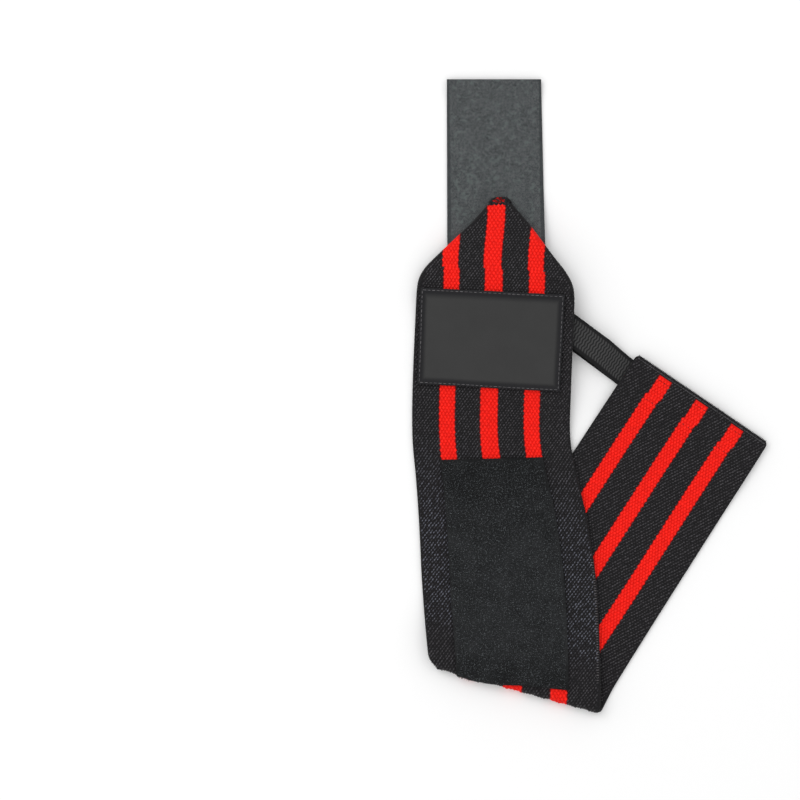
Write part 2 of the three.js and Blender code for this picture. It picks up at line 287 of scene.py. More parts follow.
# Meshes and materials
ROUND_POINTS = 3
END_SHARES = np.array([0.0, 0.08, 0.3, 0.6])
END_ROWS = len(END_SHARES) + 1
LEAST_END = 0.96
GLOSS = 0.15
REPEAT_INPUTS = {
    "Geometry": "Geometry", "Length": "Float", "Width": "Float", "Height": "Float", "Seed": "Int",
    "Material": "Material"}

# Stage, in metres, and the width of the camera's sensor in millimetres
FLOOR_HALF = 3.0
KEY_PLACE = Vector((-0.9, 0.8, 1.5))
KEY_SIZE = 1.2
PICTURE_MIDDLE = Vector((-0.0963, -0.0018, 0.0))
SENSOR_WIDTH = 36.0

# Lengths down the band that follow from the sizes above
FOLD_ARC = math.pi * FOLD_RADIUS
FOLD_START = UPPER_LEG - (FOLD_RADIUS + BAND_THICKNESS / 2) / math.cos(FOLD_SLANT)
FOLD_MIDDLE = FOLD_START + FOLD_ARC / 2 / math.cos(FOLD_SLANT)
BAND_END = FOLD_MIDDLE + LOWER_LEG
TURNED_STACK = BAND_THICKNESS + CLEARANCE
TAB_STACK = TAB_THICKNESS + CLEARANCE
TURN_RADIUS = TURNED_STACK / 2
TURN_ARC = math.pi * TURN_RADIUS
PLAIN_INSET = CLOTH_THICKNESS / 2 - EDGE_BULGE
TURNED_INSET = TURN_RADIUS + CLOTH_THICKNESS / 2 - EDGE_BULGE / 2
TAB_START = TAB_OVERLAP - TAB_LENGTH
TAB_LIFT = (TAB_THICKNESS - TAB_BACKING) / 2
PATCH_WIDTH = BAND_WIDTH - 2 * PATCH_MARGIN
PATCH_END = FOLD_START + PATCH_STOP
PATCH_START = PATCH_END - PATCH_LENGTH
LABEL_WIDTH = BAND_WIDTH - 2 * LABEL_MARGIN
LABEL_START = POINT_LENGTH + LABEL_DROP
COVER_BASE = BAND_THICKNESS / 2 + CLEARANCE
FOLD_NORMAL = np.array([-math.sin(FOLD_SLANT), -math.cos(FOLD_SLANT)])


def tint(red, green, blue):
    """A display colour from 0 to 255 as the linear colour that the shaders take."""
    def linear(part):
        share = part / 255
        return share / 12.92 if share <= 0.04045 else ((share + 0.055) / 1.055) ** 2.4
    return (linear(red), linear(green), linear(blue), 1.0)


def colour_property(name, description, default):
    return FloatVectorProperty(
        name=name, description=description, default=default, subtype="COLOR", size=4, min=0, max=1)


def length_property(name, description, millimetres):
    return FloatProperty(
        name=name, description=description, default=millimetres * MM, min=0, unit="LENGTH")


class WeaveSettings(PropertyGroup):
    red: colour_property("Red", "Stripe yarn", tint(255, 31, 19))
    # The red between the stitches is darker: the ground's own red, deepened with painted shade of the gaps
    red_gap_shade: colour_property("Red gap", "Between the stripe's stitches", tint(184, 5, 3))
    red_edge: colour_property("Red edge", "Dark line along each stripe", tint(64, 12, 16))
    # The raised dashes are lighter than the black ground: partly the twill's own pattern, partly painted
    # highlight
    black: colour_property("Black", "Ground of the band", tint(15, 14, 15))
    black_yarn: colour_property("Black yarn", "Raised dashes of the twill", tint(70, 68, 71))
    # A painted highlight: lighter, bluer dashes beside the loop patch
    worn_yarn: colour_property("Highlit yarn", "Dashes beside the loop patch", tint(98, 100, 110))
    stitch_across: length_property("Stitch across", "Distance between stitches across the band", 1.8)
    stitch_along: length_property("Stitch along", "Distance between stitches along the band", 1.5)
    dash_pitch: length_property("Dash pitch", "Distance between the twill's dashes", 1.7)
    dash_row: length_property("Dash row", "Distance between the rows of dashes", 1.25)
    relief: length_property("Relief", "How far a stitch stands off the cloth", 0.28)


class TabSettings(PropertyGroup):
    cloth: colour_property("Cloth", "Back of the hook tape", tint(92, 95, 96))
    shade: colour_property("Shade", "Darker grain of the back", tint(44, 47, 49))
    hook: colour_property("Hook", "Hooks under the tab", tint(88, 94, 96))
    hook_pitch: length_property("Hook pitch", "Distance between the hooks", 1.9)
    hook_height: length_property("Hook height", "Height of the hooks", 0.5)


class PatchSettings(PropertyGroup):
    ground: colour_property("Ground", "Cloth under the pile", tint(33, 34, 35))
    pile: colour_property("Pile", "Loops of the pile", tint(50, 52, 54))
    tips: colour_property("Tips", "Lighter loops of the pile", tint(112, 117, 120))
    loop_pitch: length_property("Loop pitch", "Mean distance between the loops", 0.86)
    loop_height: length_property("Loop height", "Height of the pile", 0.65)


class LabelSettings(PropertyGroup):
    face: colour_property("Face", "Middle of the label", tint(56, 56, 56))
    rim: colour_property("Rim", "Pressed rim of the label", tint(32, 32, 34))
    thread: colour_property("Thread", "Sewing thread round the label", tint(124, 121, 124))
    rim_width: length_property("Rim width", "Width of the flat rim", 2.4)
    stitch_pitch: length_property("Stitch pitch", "Distance between the label's stitches", 2.4)


class TapeSettings(PropertyGroup):
    # Painted light: the crests of the ribs are coloured lighter and the hollows darker; the plain border
    # takes the dark colour too
    light: colour_property("Light", "Crests of the ribs", tint(73, 73, 73))
    dark: colour_property("Dark", "Between the ribs", tint(24, 24, 25))
    rib_pitch: length_property("Rib pitch", "Distance between the ribs", 1.6)
    rib_height: length_property("Rib height", "Height of the ribs", 0.16)
    border: length_property("Border", "Plain border of the tape", 1.5)


class SewingSettings(PropertyGroup):
    dark: colour_property("Dark thread", "Thread of the hidden seams", tint(40, 40, 43))
    grey: colour_property("Grey thread", "Thread over the hem", tint(92, 92, 94))
    pale: colour_property("Pale thread", "Chain along the right edge", tint(116, 112, 114))
    pitch: length_property("Pitch", "Distance between the stitches of a seam", 2.4)
    thickness: length_property("Thickness", "Thickness of the thread", 0.32)
    seed: IntProperty(name="Seed", description="Seed of the uneven stitches", default=7, min=0)


class StageSettings(PropertyGroup):
    floor: colour_property("Floor", "Colour of the floor", (0.93, 0.93, 0.93, 1.0))
    camera_height: length_property("Camera height", "Height of the camera above the floor", 2000.0)
    picture_width: length_property("Picture width", "Width of floor in the picture", 407.7)
    key_power: FloatProperty(name="Key power", description="Large soft light", default=8, min=0)
    sky_strength: FloatProperty(name="Sky", description="Even light", default=0.95, min=0)


# The flat band and how it lies

def smooth(value):
    share = np.clip(value, 0.0, 1.0)
    return share * share * (3.0 - 2.0 * share)


def mix(first, second, share):
    return first + (second - first) * share


def soft_max(first, second):
    return (first ** 4 + second ** 4) ** 0.25


def soft_min(first, second, rounding):
    overlap = np.maximum(rounding - np.abs(first - second), 0.0)
    return np.minimum(first, second) - overlap ** 2 / (4 * rounding)


def pairs(first, second):
    return np.stack([first, second], axis=-1)


def matched(first, second):
    """Two lengths or arrays of lengths as arrays of one shape."""
    return np.broadcast_arrays(np.asarray(first, float), np.asarray(second, float))


def read_sections(at, column):
    """One column of the section table, read between its rows along a smooth curve."""
    stops = np.array(SECTIONS["at"], float)
    values = np.array(SECTIONS[column], float)
    last = len(stops) - 1
    before = np.maximum(np.arange(last + 1) - 1, 0)
    after = np.minimum(np.arange(last + 1) + 1, last)
    slopes = (values[after] - values[before]) / (stops[after] - stops[before])
    row = np.clip(np.searchsorted(stops[1:], at, side="left"), 0, last - 1)
    span = stops[row + 1] - stops[row]
    share = np.clip((at - stops[row]) / span, 0.0, 1.0)
    ease = smooth(share)
    leave = slopes[row] * span * share * (1 - share) ** 2
    arrive = slopes[row + 1] * span * share ** 2 * (1 - share)
    return values[row] * (1 - ease) + values[row + 1] * ease + leave - arrive


def section_at(along):
    """Sideways place, turn and half width of the flat band."""
    past_fold = (along - FOLD_MIDDLE) / LOWER_LEG
    at = np.where(along < FOLD_MIDDLE, along / FOLD_MIDDLE, 1 + past_fold)
    sideways = read_sections(at, "sideways") * BAND_WIDTH
    turn = np.radians(read_sections(at, "turn"))
    return sideways, turn, read_sections(at, "width") * BAND_WIDTH / 2


def widening(along):
    """How much wider the band is here than its plain width."""
    return section_at(along)[2] * 2 / BAND_WIDTH


def side_of(girth):
    return np.where(girth < 0, -1.0, 1.0)


def outline_half_width(along):
    """Half the width between the turned-in corners of the point and the round ones of the hem."""
    full = section_at(along)[2]
    to_end = np.clip(1 - along / TIP_RISE, 0.0, 1.0)
    dome = TIP_WIDTH / 2 * np.sqrt(1 - (1 - TIP_END_SHARE ** 2) * to_end ** 2)
    flare = (BAND_WIDTH - TIP_WIDTH) / 2 / (POINT_LENGTH - SHOULDER_LEAD - TIP_RISE)
    point = soft_min(TIP_WIDTH / 2 + flare * (along - TIP_RISE), full, SHOULDER_ROUNDING)
    into_corner = np.clip(HEM_ROUNDING - (BAND_END - along), 0.0, HEM_ROUNDING)
    corner = HEM_ROUNDING - np.sqrt(HEM_ROUNDING ** 2 - into_corner ** 2)
    return np.where(along < TIP_RISE, dome, point) - corner


def flat_point(along, across):
    sideways, turn, _ = section_at(along)
    return pairs(sideways + across * np.cos(turn), across * np.sin(turn) - along)


def past_fold_line(flat):
    fold_point = flat_point(np.array([FOLD_START]), np.array([0.0]))[0]
    return (flat - fold_point) @ FOLD_NORMAL


def hem_lift(along, across):
    """How far the layers of tape lift the lower leg near its hem."""
    from_hem = BAND_END - along
    under_tape = smooth(1 - (from_hem - TAPE_INSET - TAPE_WIDTH - LAYER_MARGIN) / HEM_RUN)
    inner_end = section_at(along)[2] * (2 * INNER_LAYER_SHARE - 1)
    over_inner = smooth(1 - (across - inner_end - LAYER_MARGIN) / TAPE_WIDTH)
    return (TAPE_THICKNESS + CLEARANCE) * under_tape * (1 + over_inner)


def lower_point(along, across, flat, past):
    """A place on the band's middle surface beyond the fold line."""
    rolling = past < FOLD_ARC
    angle = np.clip(past / FOLD_RADIUS, 0.0, math.pi)
    way_along_fold = flat[..., 0] * FOLD_NORMAL[1] - flat[..., 1] * FOLD_NORMAL[0]
    turn = way_along_fold * TAU / FOLD_BUMP_LENGTH
    second = SECOND_BUMP * np.sin(SECOND_BUMP_RATE * turn + SECOND_BUMP_SHIFT)
    bumps = FOLD_BUMP * (np.sin(turn) + second)
    reach = np.where(rolling, (FOLD_RADIUS + bumps * np.sin(angle)) * np.sin(angle), FOLD_ARC - past)
    plan = flat + FOLD_NORMAL * (reach - past)[..., None]
    roll = FOLD_RADIUS * (1 + np.cos(angle))
    lift = np.where(rolling, 0.0, hem_lift(along, across))
    return np.concatenate([plan, (BAND_THICKNESS / 2 + roll + lift)[..., None]], axis=-1)


def lower_plan(along, across):
    """A single place on the lower leg, seen from above."""
    along, across = np.array([along], float), np.array([across], float)
    flat = flat_point(along, across)
    return lower_point(along, across, flat, past_fold_line(flat))[0, :2]


HEM_HALF = float(section_at(np.array([BAND_END]))[2][0])
HEM_LEFT = lower_plan(BAND_END, -HEM_HALF)
HEM_RIGHT = lower_plan(BAND_END, HEM_HALF)
HEM_LENGTH = float(np.linalg.norm(HEM_LEFT - HEM_RIGHT))
HEM_OUT = (HEM_LEFT - HEM_RIGHT) / HEM_LENGTH
HEM_IN = np.array([-HEM_OUT[1], HEM_OUT[0]])
BEND_RADIUS = (LOOP_GAP + TAPE_THICKNESS) / 2
LOOP_HEIGHT = LOOP_GAP + 2 * TAPE_THICKNESS


def tape_plan(out, across):
    """A place on the tape from above, from its distance out along the hem and across the tape."""
    drift = LOOP_DRIFT * np.maximum(out - HEM_LENGTH, 0) / LOOP_REACH
    inwards = TAPE_INSET + TAPE_WIDTH / 2 + across - drift
    return HEM_RIGHT + np.multiply.outer(out, HEM_OUT) + np.asarray(inwards)[..., None] * HEM_IN


LOOP_ROOT = tape_plan(np.array([HEM_LENGTH]), np.array([0.0]))[0]
LOOP_END = tape_plan(np.array([HEM_LENGTH + LOOP_REACH]), np.array([0.0]))[0]
LEG_FOOT = lower_plan(
    FOLD_MIDDLE + LOWER_LEG / 2, -float(outline_half_width(np.array([FOLD_MIDDLE]))[0]))
LEG_WAY = (HEM_LEFT - LEG_FOOT) / np.linalg.norm(HEM_LEFT - LEG_FOOT)


def lift_of_upper_leg(plan):
    """Height of the top of what lies on the table under the upper leg."""
    from_edge = plan - LEG_FOOT
    inside_edge = from_edge[..., 0] * LEG_WAY[1] - from_edge[..., 1] * LEG_WAY[0]
    over_leg = (BAND_THICKNESS + CLEARANCE) * smooth(1 + inside_edge / LEG_RUN)
    loop_way = LOOP_END - LOOP_ROOT
    reach = np.clip((plan - LOOP_ROOT) @ loop_way / (loop_way @ loop_way), 0.0, 1.0)
    nearest = LOOP_ROOT + reach[..., None] * loop_way
    from_tape = np.linalg.norm(plan - nearest, axis=-1) - TAPE_WIDTH / 2 - LAYER_STEP
    over_loop = (LOOP_HEIGHT + CLEARANCE) * smooth(1 - np.maximum(from_tape, 0) / LOOP_RUN)
    near_fold = smooth(1 + past_fold_line(plan) / FOLD_RUN)
    return mix(soft_max(over_leg, over_loop), 2 * FOLD_RADIUS, near_fold)


def stack_under_point(along):
    run = STACK_RUN + POINT_LENGTH - TAB_OVERLAP
    return (TURNED_STACK + TAB_STACK) * smooth(1 - (along - TAB_OVERLAP) / run)


def band_point(along, across):
    """A place on the middle of the band's thickness, folded and lying on the table."""
    along, across = matched(along, across)
    flat = flat_point(along, across)
    past = past_fold_line(flat)
    height = BAND_THICKNESS / 2 + lift_of_upper_leg(flat) + stack_under_point(along)
    upper = np.concatenate([flat, height[..., None]], axis=-1)
    lower = lower_point(along, across, flat, past)
    return np.where((past > 0)[..., None], lower, upper)


def way_and_normal(surface, first, second):
    """The way in which the second length runs on a surface, and the surface's normal."""
    first_way = surface(first + PROBE, second) - surface(first - PROBE, second)
    second_way = surface(first, second + PROBE) - surface(first, second - PROBE)
    normal = np.cross(first_way, second_way)
    normal /= np.linalg.norm(normal, axis=-1, keepdims=True)
    return second_way / np.linalg.norm(second_way, axis=-1, keepdims=True), normal


def raised(surface, first, second, height):
    """Moves off a surface by a height, square to it."""
    first, second = matched(first, second)
    normal = way_and_normal(surface, first, second)[1]
    return surface(first, second) + normal * np.asarray(height)[..., None]


# "Girth" is measured across the sheet from the middle line, over the edge of the point and on
# along the corner that is turned under it.

def edge_curl(along):
    """1 where the band's edge is turned right under, fading to nearly 0 below the shoulder."""
    return mix(LEAST_CURL, 1.0, smooth(1 - (along - SHOULDER_START) / SHOULDER_RUN))


def turned_reach(along):
    """How much of the sheet goes on past the start of the turn at the point's edge."""
    edge = outline_half_width(along)
    closing = np.clip((along - TAB_OVERLAP) / (SHOULDER_START - TAB_OVERLAP), 0.0, 1.0)
    flap = np.maximum((edge - TURNED_INSET) * (1 - closing) - CORNER_GAP, 0.0)
    opening = smooth((along - CORNER_START) / CORNER_RUN)
    return (TURN_ARC + flap) * opening * edge_curl(along)


def turn_inset(along):
    """How far inside the outline the turn starts, so that its outermost place is on the outline."""
    curl = edge_curl(along)
    opened = smooth(turned_reach(along) / (TURN_ARC / 2 * curl))
    bend = TURN_RADIUS / curl * np.sin(np.minimum(math.pi * curl ** 2, RIGHT_ANGLE))
    return PLAIN_INSET + (bend + EDGE_BULGE / 2 * curl) * opened


def girth_to_edge(along):
    return outline_half_width(along) - turn_inset(along)


def fold_trim(along, side):
    """How much the band's edge is drawn in beside the fold, so that the fold's corners are round."""
    edge = side * outline_half_width(along)
    from_fold = np.abs(past_fold_line(flat_point(along, edge)) - FOLD_ARC / 2)
    rounding = np.where(side < 0, FOLD_CORNER_LEFT, FOLD_CORNER_RIGHT)
    short = np.maximum(rounding - from_fold, 0.0)
    return rounding - np.sqrt(rounding ** 2 - short ** 2)


def sheet_point(along, girth):
    """A place on the middle of the sheet's thickness, turned corners included."""
    along, girth = matched(along, girth)
    start = girth_to_edge(along)
    beyond = np.maximum(np.abs(girth) - start, 0.0)
    radius = TURN_RADIUS / np.where(turned_reach(along) > 0, edge_curl(along), LEAST_CURL)
    angle = np.minimum(beyond / radius, math.pi)
    flap = np.maximum(beyond - math.pi * radius, 0.0)
    across = np.minimum(np.abs(girth), start) + radius * np.sin(angle) - flap
    drop = radius * (1 - np.cos(angle))
    return raised(band_point, along, np.sign(girth) * across, -drop)


def lower_share(along):
    """0 on the upper leg, rising to 1 half way down the lower one."""
    return smooth((along - FOLD_START) / LOWER_LEG * 2)


def stripe_middles(along):
    """Offsets of the three stripes, as if the band had its plain width all along."""
    share = lower_share(along)
    step = np.where(along < TAB_SEAM, -STRIPE_STEP, 0.0)
    step = step + np.where(along > BAND_END - HEM_SEAM, STRIPE_STEP, 0.0)
    return [mix(upper, lower, share) + step for upper, lower in zip(STRIPES_UPPER, STRIPES_LOWER)]


def stripe_halves(along):
    """Half the widths of the three stripes, as if the band had its plain width all along."""
    share = lower_share(along)
    widths = zip(STRIPE_WIDTHS_UPPER, STRIPE_WIDTHS_LOWER)
    return [mix(upper, lower, share) / 2 for upper, lower in widths]


def plain_offset(along, girth):
    """The place across the band, as if the band had its plain width all along."""
    return girth / widening(along)


def is_striped(along, girth):
    offset = plain_offset(along, girth)
    stripes = zip(stripe_middles(along), stripe_halves(along))
    inside = [np.abs(offset - middle) < half for middle, half in stripes]
    return np.any(inside, axis=0) & (along < BAND_END - HEM_BORDER)


def tab_point(along, across):
    """A place on the middle of the tab, which lies on the table and goes up under the point."""
    along, across = matched(along, across)
    from_end = along + TAB_LENGTH - TAB_OVERLAP
    shift = TAB_SHIFT + TAB_END_SHIFT * (1 - from_end / TAB_LENGTH)
    plan = pairs(shift + across, -along)
    curl = TAB_CURL * (1 - smooth(from_end / TAB_CURL_RUN))
    height = TAB_THICKNESS / 2 + lift_of_upper_leg(plan) + curl
    return np.concatenate([plan, height[..., None]], axis=-1)


def tape_path():
    """The tape's path along the hem: distance out, height, and how far along itself."""
    low = TAPE_THICKNESS / 2
    high = low + 2 * BEND_RADIUS
    between = low + TAPE_THICKNESS + CLEARANCE
    bend = HEM_LENGTH + LOOP_REACH - BEND_RADIUS - TAPE_THICKNESS / 2
    leaving = HEM_LENGTH + TAPE_THICKNESS
    angles = np.linspace(0, math.pi, BEND_POINTS)
    rise = np.linspace(leaving + LOOP_RISE, leaving, SHORT_POINTS)
    inner_end = HEM_LENGTH * (1 - INNER_LAYER_SHARE)
    legs = (
        (np.linspace(TAPE_THICKNESS / 2, bend, LONG_POINTS)[:-1], low),
        (bend + BEND_RADIUS * np.sin(angles), low + BEND_RADIUS * (1 - np.cos(angles))),
        (np.linspace(bend, leaving + LOOP_RISE, SHORT_POINTS)[1:-1], high),
        (rise, mix(between, high, smooth((rise - leaving) / LOOP_RISE))),
        (np.linspace(leaving, inner_end, SHORT_POINTS)[1:], between),
    )
    out = np.concatenate([places for places, _ in legs])
    height = np.concatenate([np.broadcast_to(level, places.shape) for places, level in legs])
    run = np.concatenate([[0.0], np.cumsum(np.hypot(np.diff(out), np.diff(height)))])
    return out, height, run


TAPE_OUT, TAPE_HEIGHT, TAPE_RUN = tape_path()
TAPE_LENGTH = float(TAPE_RUN[-1])


def tape_point(run, across):
    """A place on the middle of the tape, from its distance along the tape and across it."""
    run, across = matched(run, across)
    out = np.interp(run, TAPE_RUN, TAPE_OUT)
    height = np.interp(run, TAPE_RUN, TAPE_HEIGHT)
    upper = np.clip((height - TAPE_THICKNESS) / LOOP_GAP, 0.0, 1.0)
    plan = tape_plan(out, across - LAYER_STEP * (upper - 0.5))
    return np.concatenate([plan, height[..., None]], axis=-1)


def patch_place(station, share):
    """Along and across of a place on the loop patch, from its row and its share across."""
    across = (PATCH_SHIFT + share * PATCH_WIDTH) * widening(station)
    near_end = smooth(1 + (station - PATCH_END) / PATCH_LENGTH)
    slope = mix(math.tan(PATCH_TOP_SLANT), math.tan(PATCH_END_SLANT), near_end)
    return station + PATCH_TOP_DROP * (1 - near_end) + across * slope, across


def slanted_row(station, across):
    """Rows turn to run along the fold as they come near it."""
    share = smooth(1 - np.abs(station - FOLD_MIDDLE) / ROW_TURN_RUN)
    return station + across * math.tan(FOLD_SLANT) * share


# From lengths on the cloth to meshes in the frame

tab_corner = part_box("hook_tab")[1]
PLACE = np.array([
    tab_corner.x / MM - TAB_SHIFT - TAB_WIDTH / 2,
    tab_corner.y / MM - TAB_LENGTH + TAB_OVERLAP,
    0.0,
])


def in_frame(points):
    """Millimetres on the table as metres in the frame."""
    return (points + PLACE) * MM


def linked_object(name, data):
    thing = bpy.data.objects.new(name, data)
    bpy.context.scene.collection.objects.link(thing)
    return thing


def mesh_object(name, points, faces, material, ground=None):
    """A smooth mesh object. "ground" holds each point's place on the flat cloth, for its UV map."""
    mesh = bpy.data.meshes.new(name)
    mesh.from_pydata([tuple(point) for point in points], [], faces)
    if ground is not None:
        layer = mesh.uv_layers.new(name="cloth")
        corners = np.empty(len(mesh.loops), int)
        mesh.loops.foreach_get("vertex_index", corners)
        layer.data.foreach_set("uv", (ground[corners] * MM).ravel())
    mesh.validate()
    mesh.shade_smooth()
    mesh.materials.append(material)
    return linked_object(name, mesh)


def signed_volume(points, faces):
    total = 0.0
    for face in faces:
        first = points[face[0]]
        for second, third in zip(face[1:-1], face[2:]):
            total += first @ np.cross(points[second], points[third])
    return total


def slab_section(columns):
    """The outline of a slab's section: shares across, levels and how far its sides stand out."""
    shares = np.linspace(-0.5, 0.5, columns + 1)
    sides = np.linspace(RIGHT_ANGLE, -RIGHT_ANGLE, ROUND_POINTS + 2)[1:-1]
    flat, side = np.ones(columns + 1), np.ones(ROUND_POINTS)
    share = np.concatenate([shares, side * 0.5, shares[::-1], side * -0.5])
    level = np.concatenate([flat * 0.5, np.sin(sides) / 2, flat * -0.5, -np.sin(sides) / 2])
    stand = np.concatenate([flat * 0, np.cos(sides), flat * 0, -np.cos(sides)])
    return share, level, stand


def cloth_slab(name, stations, columns, place, material):
    """A closed slab of cloth with rounded sides. "place" takes arrays of stations, shares across
    from -0.5 to 0.5, shares through it from -0.5 to 0.5 and how round the side stands out, and gives
    points and their places on the flat cloth."""
    section = slab_section(columns)
    girth, rows = len(section[0]), len(stations)
    points, ground = place(np.repeat(stations, girth), *(np.tile(part, rows) for part in section))
    start = np.arange(girth)
    follow = np.roll(start, -1)
    strip = np.stack([start, follow, follow + girth, start + girth], axis=-1)
    faces = [face for row in range(rows - 1) for face in (strip + row * girth).tolist()]
    faces += end_faces(columns, girth, 0, flip=True)
    faces += end_faces(columns, girth, (rows - 1) * girth, flip=False)
    if signed_volume(points, faces) < 0:
        faces = [face[::-1] for face in faces]
    return mesh_object(name, in_frame(points), faces, material, ground)


def end_faces(columns, girth, first, flip):
    """Faces that close one end of a slab."""
    top = list(range(columns + 1))
    right = list(range(columns + 1, columns + 1 + ROUND_POINTS))
    bottom = [2 * columns + 1 + ROUND_POINTS - column for column in top]
    left = list(range(girth - ROUND_POINTS, girth))
    faces = [[top[i], top[i + 1], bottom[i + 1], bottom[i]] for i in range(columns)]
    faces.append([top[-1], *right, bottom[-1]])
    faces.append([bottom[0], *left, top[0]])
    faces = [[first + corner for corner in face] for face in faces]
    return [face[::-1] for face in faces] if flip else faces


def end_rounding(station, start, end, thickness):
    """Share of the full thickness near the two ends of a slab, so that they are rounded."""
    nearest = np.minimum(station - start, end - station)
    share = np.clip(1 - nearest / (thickness / 2), 0.0, LEAST_END)
    return np.sqrt(1 - share ** 2)


def slab_height(level, station, start, end, thickness):
    """Height off the middle of a slab whose ends are rounded."""
    return level * thickness * end_rounding(station, start, end, thickness)


def steps(start, end, size):
    return np.linspace(start, end, max(int(math.ceil((end - start) / size)), 1) + 1)


def end_steps(start, end, size, thickness):
    """Even steps with closer ones at both ends, where a slab's thickness is rounded."""
    near = thickness / 2 * END_SHARES
    middle = steps(start + thickness / 2, end - thickness / 2, size)
    return np.concatenate([start + near, middle, end - near[::-1]])


# Node trees

class Board:
    """A node tree under construction."""

    def __init__(self, tree):
        self.tree = tree

    def feed(self, socket, value):
        """Links a socket to another one, or sets its value."""
        if isinstance(value, bpy.types.NodeSocket):
            self.tree.links.new(value, socket)
        else:
            socket.default_value = value

    def add(self, kind, inputs=None, output=0, **settings):
        """Adds a node and gives one output. Its settings come first, as they choose its sockets."""
        node = self.tree.nodes.new(kind)
        for setting, value in settings.items():
            setattr(node, setting, value)
        for socket, value in (inputs or {}).items():
            self.feed(node.inputs[socket], value)
        return node.outputs[output]


class Value:
    """One shader socket, on which sums are written as plain expressions."""

    def __init__(self, board, socket):
        self.board = board
        self.socket = socket

    def __add__(self, other):
        return self.board.math("ADD", self, other)

    def __sub__(self, other):
        return self.board.math("SUBTRACT", self, other)

    def __rsub__(self, other):
        return self.board.math("SUBTRACT", other, self)

    def __mul__(self, other):
        return self.board.math("MULTIPLY", self, other)

    def __abs__(self):
        return self.board.math("ABSOLUTE", self)


class Finish(Board):
    """A new material with one Principled shader, and short ways to add the nodes behind it."""

    def __init__(self, name, roughness, sheen=0.0):
        self.material = bpy.data.materials.new(name)
        self.material.use_nodes = True
        super().__init__(self.material.node_tree)
        self.shader = self.tree.nodes["Principled BSDF"].inputs
        self.shader["Roughness"].default_value = roughness
        self.shader["Sheen Weight"].default_value = sheen
        self.shader["Specular IOR Level"].default_value = GLOSS

    def feed(self, socket, value):
        super().feed(socket, value.socket if isinstance(value, Value) else value)

    def add(self, *details, **settings):
        return Value(self, super().add(*details, **settings))

    def math(self, operation, *operands):
        return self.add("ShaderNodeMath", dict(enumerate(operands)), operation=operation)

    def sine(self, value):
        return self.math("SINE", value)

    def largest(self, first, *others):
        for other in others:
            first = self.math("MAXIMUM", first, other)
        return first

    def between(self, value, low, high):
        """0 below low, 1 above high, and a smooth step between them."""
        inputs = {"Value": value, "From Min": low, "From Max": high}
        return self.add("ShaderNodeMapRange", inputs, interpolation_type="SMOOTHSTEP")

    def object_place(self):
        return self.add("ShaderNodeTexCoord", output="Object")

    def noise(self, scale, detail=2.0):
        inputs = {"Vector": self.object_place(), "Scale": scale, "Detail": detail}
        return self.add("ShaderNodeTexNoise", inputs)

    def split(self, vector):
        """The first two parts of a vector."""
        return [self.add("ShaderNodeSeparateXYZ", {0: vector}, output=part) for part in (0, 1)]

    def cloth_place(self):
        """Millimetres across and along the flat cloth."""
        across, along = self.split(self.add("ShaderNodeUVMap", uv_map="cloth"))
        return across * (1 / MM), along * (1 / MM)

    def blend(self, share, first, second):
        return self.add("ShaderNodeMix", {0: share, 6: first, 7: second}, output=2, data_type="RGBA")

    def paint(self, colour, roughness=None, height=None, depth=0.0):
        """Feeds the shader. "depth" is how many millimetres a height of 1 stands up."""
        self.feed(self.shader["Base Color"], colour)
        if roughness is not None:
            self.feed(self.shader["Roughness"], roughness)
        if height is not None:
            bump = self.add("ShaderNodeBump", {"Height": height, "Distance": depth * MM, "Strength": 1.0})
            self.feed(self.shader["Normal"], bump)
        return self.material


# Materials

def shaded(colour, factor):
    return tuple(min(part * factor, 1.0) for part in colour[:3]) + (1.0,)


def stripe_shares(finish, across, along):
    """How much of a place is stripe, and how much is the dark line along a stripe's edge."""
    share = finish.between(along, FOLD_START, FOLD_START + LOWER_LEG / 2)
    past_tab_row, past_hem_row = (
        finish.between(along, row - SEAM_BLUR, row + SEAM_BLUR)
        for row in (TAB_SEAM, BAND_END - HEM_SEAM))
    step = past_tab_row * STRIPE_STEP - STRIPE_STEP + past_hem_row * STRIPE_STEP
    stripes, lines = [], []
    rows = zip(STRIPES_UPPER, STRIPES_LOWER, STRIPE_WIDTHS_UPPER, STRIPE_WIDTHS_LOWER)
    for upper, lower, upper_width, lower_width in rows:
        offset = abs(across - (share * (lower - upper) + upper) - step)
        half = (share * (lower_width - upper_width) + upper_width) * 0.5
        stripes.append(1 - finish.between(offset - half, *STRIPE_BLUR))
        lines.append(1 - finish.between(abs(offset - half), *LINE_BLUR))
    hem = BAND_END - HEM_BORDER
    before_hem = 1 - finish.between(along, hem - HEM_BLUR, hem)
    woven = before_hem * finish.between(along - TIP_CAP, *CAP_BLUR)
    return finish.largest(*stripes) * woven, finish.largest(*lines) * woven


def striped_cloth(weave):
    """The band's woven ground, seen between the raised stitches."""
    finish = Finish("striped_elastic", roughness=0.9, sheen=0.05)
    across, along = finish.cloth_place()
    stripe, line = stripe_shares(finish, across, along)
    rib = finish.sine((across + along) * (TAU / (weave.dash_pitch / MM)))
    fuzz = finish.noise(scale=900.0, detail=3.0)
    cloud = finish.noise(scale=60.0)
    ground = finish.blend(fuzz * 0.25, weave.black, weave.black_yarn)
    ground = finish.blend(cloud * 0.35, ground, weave.black)
    # Painted shade: the stripe's ground between the raised stitches is mixed towards the darker red
    red = finish.blend(fuzz, weave.red_gap_shade, weave.red)
    colour = finish.blend(stripe, ground, red)
    colour = finish.blend(line * 0.75, colour, weave.red_edge)
    return finish.paint(colour, fuzz * 0.15 + 0.8, rib * 0.5 + fuzz * 0.6, depth=0.18)


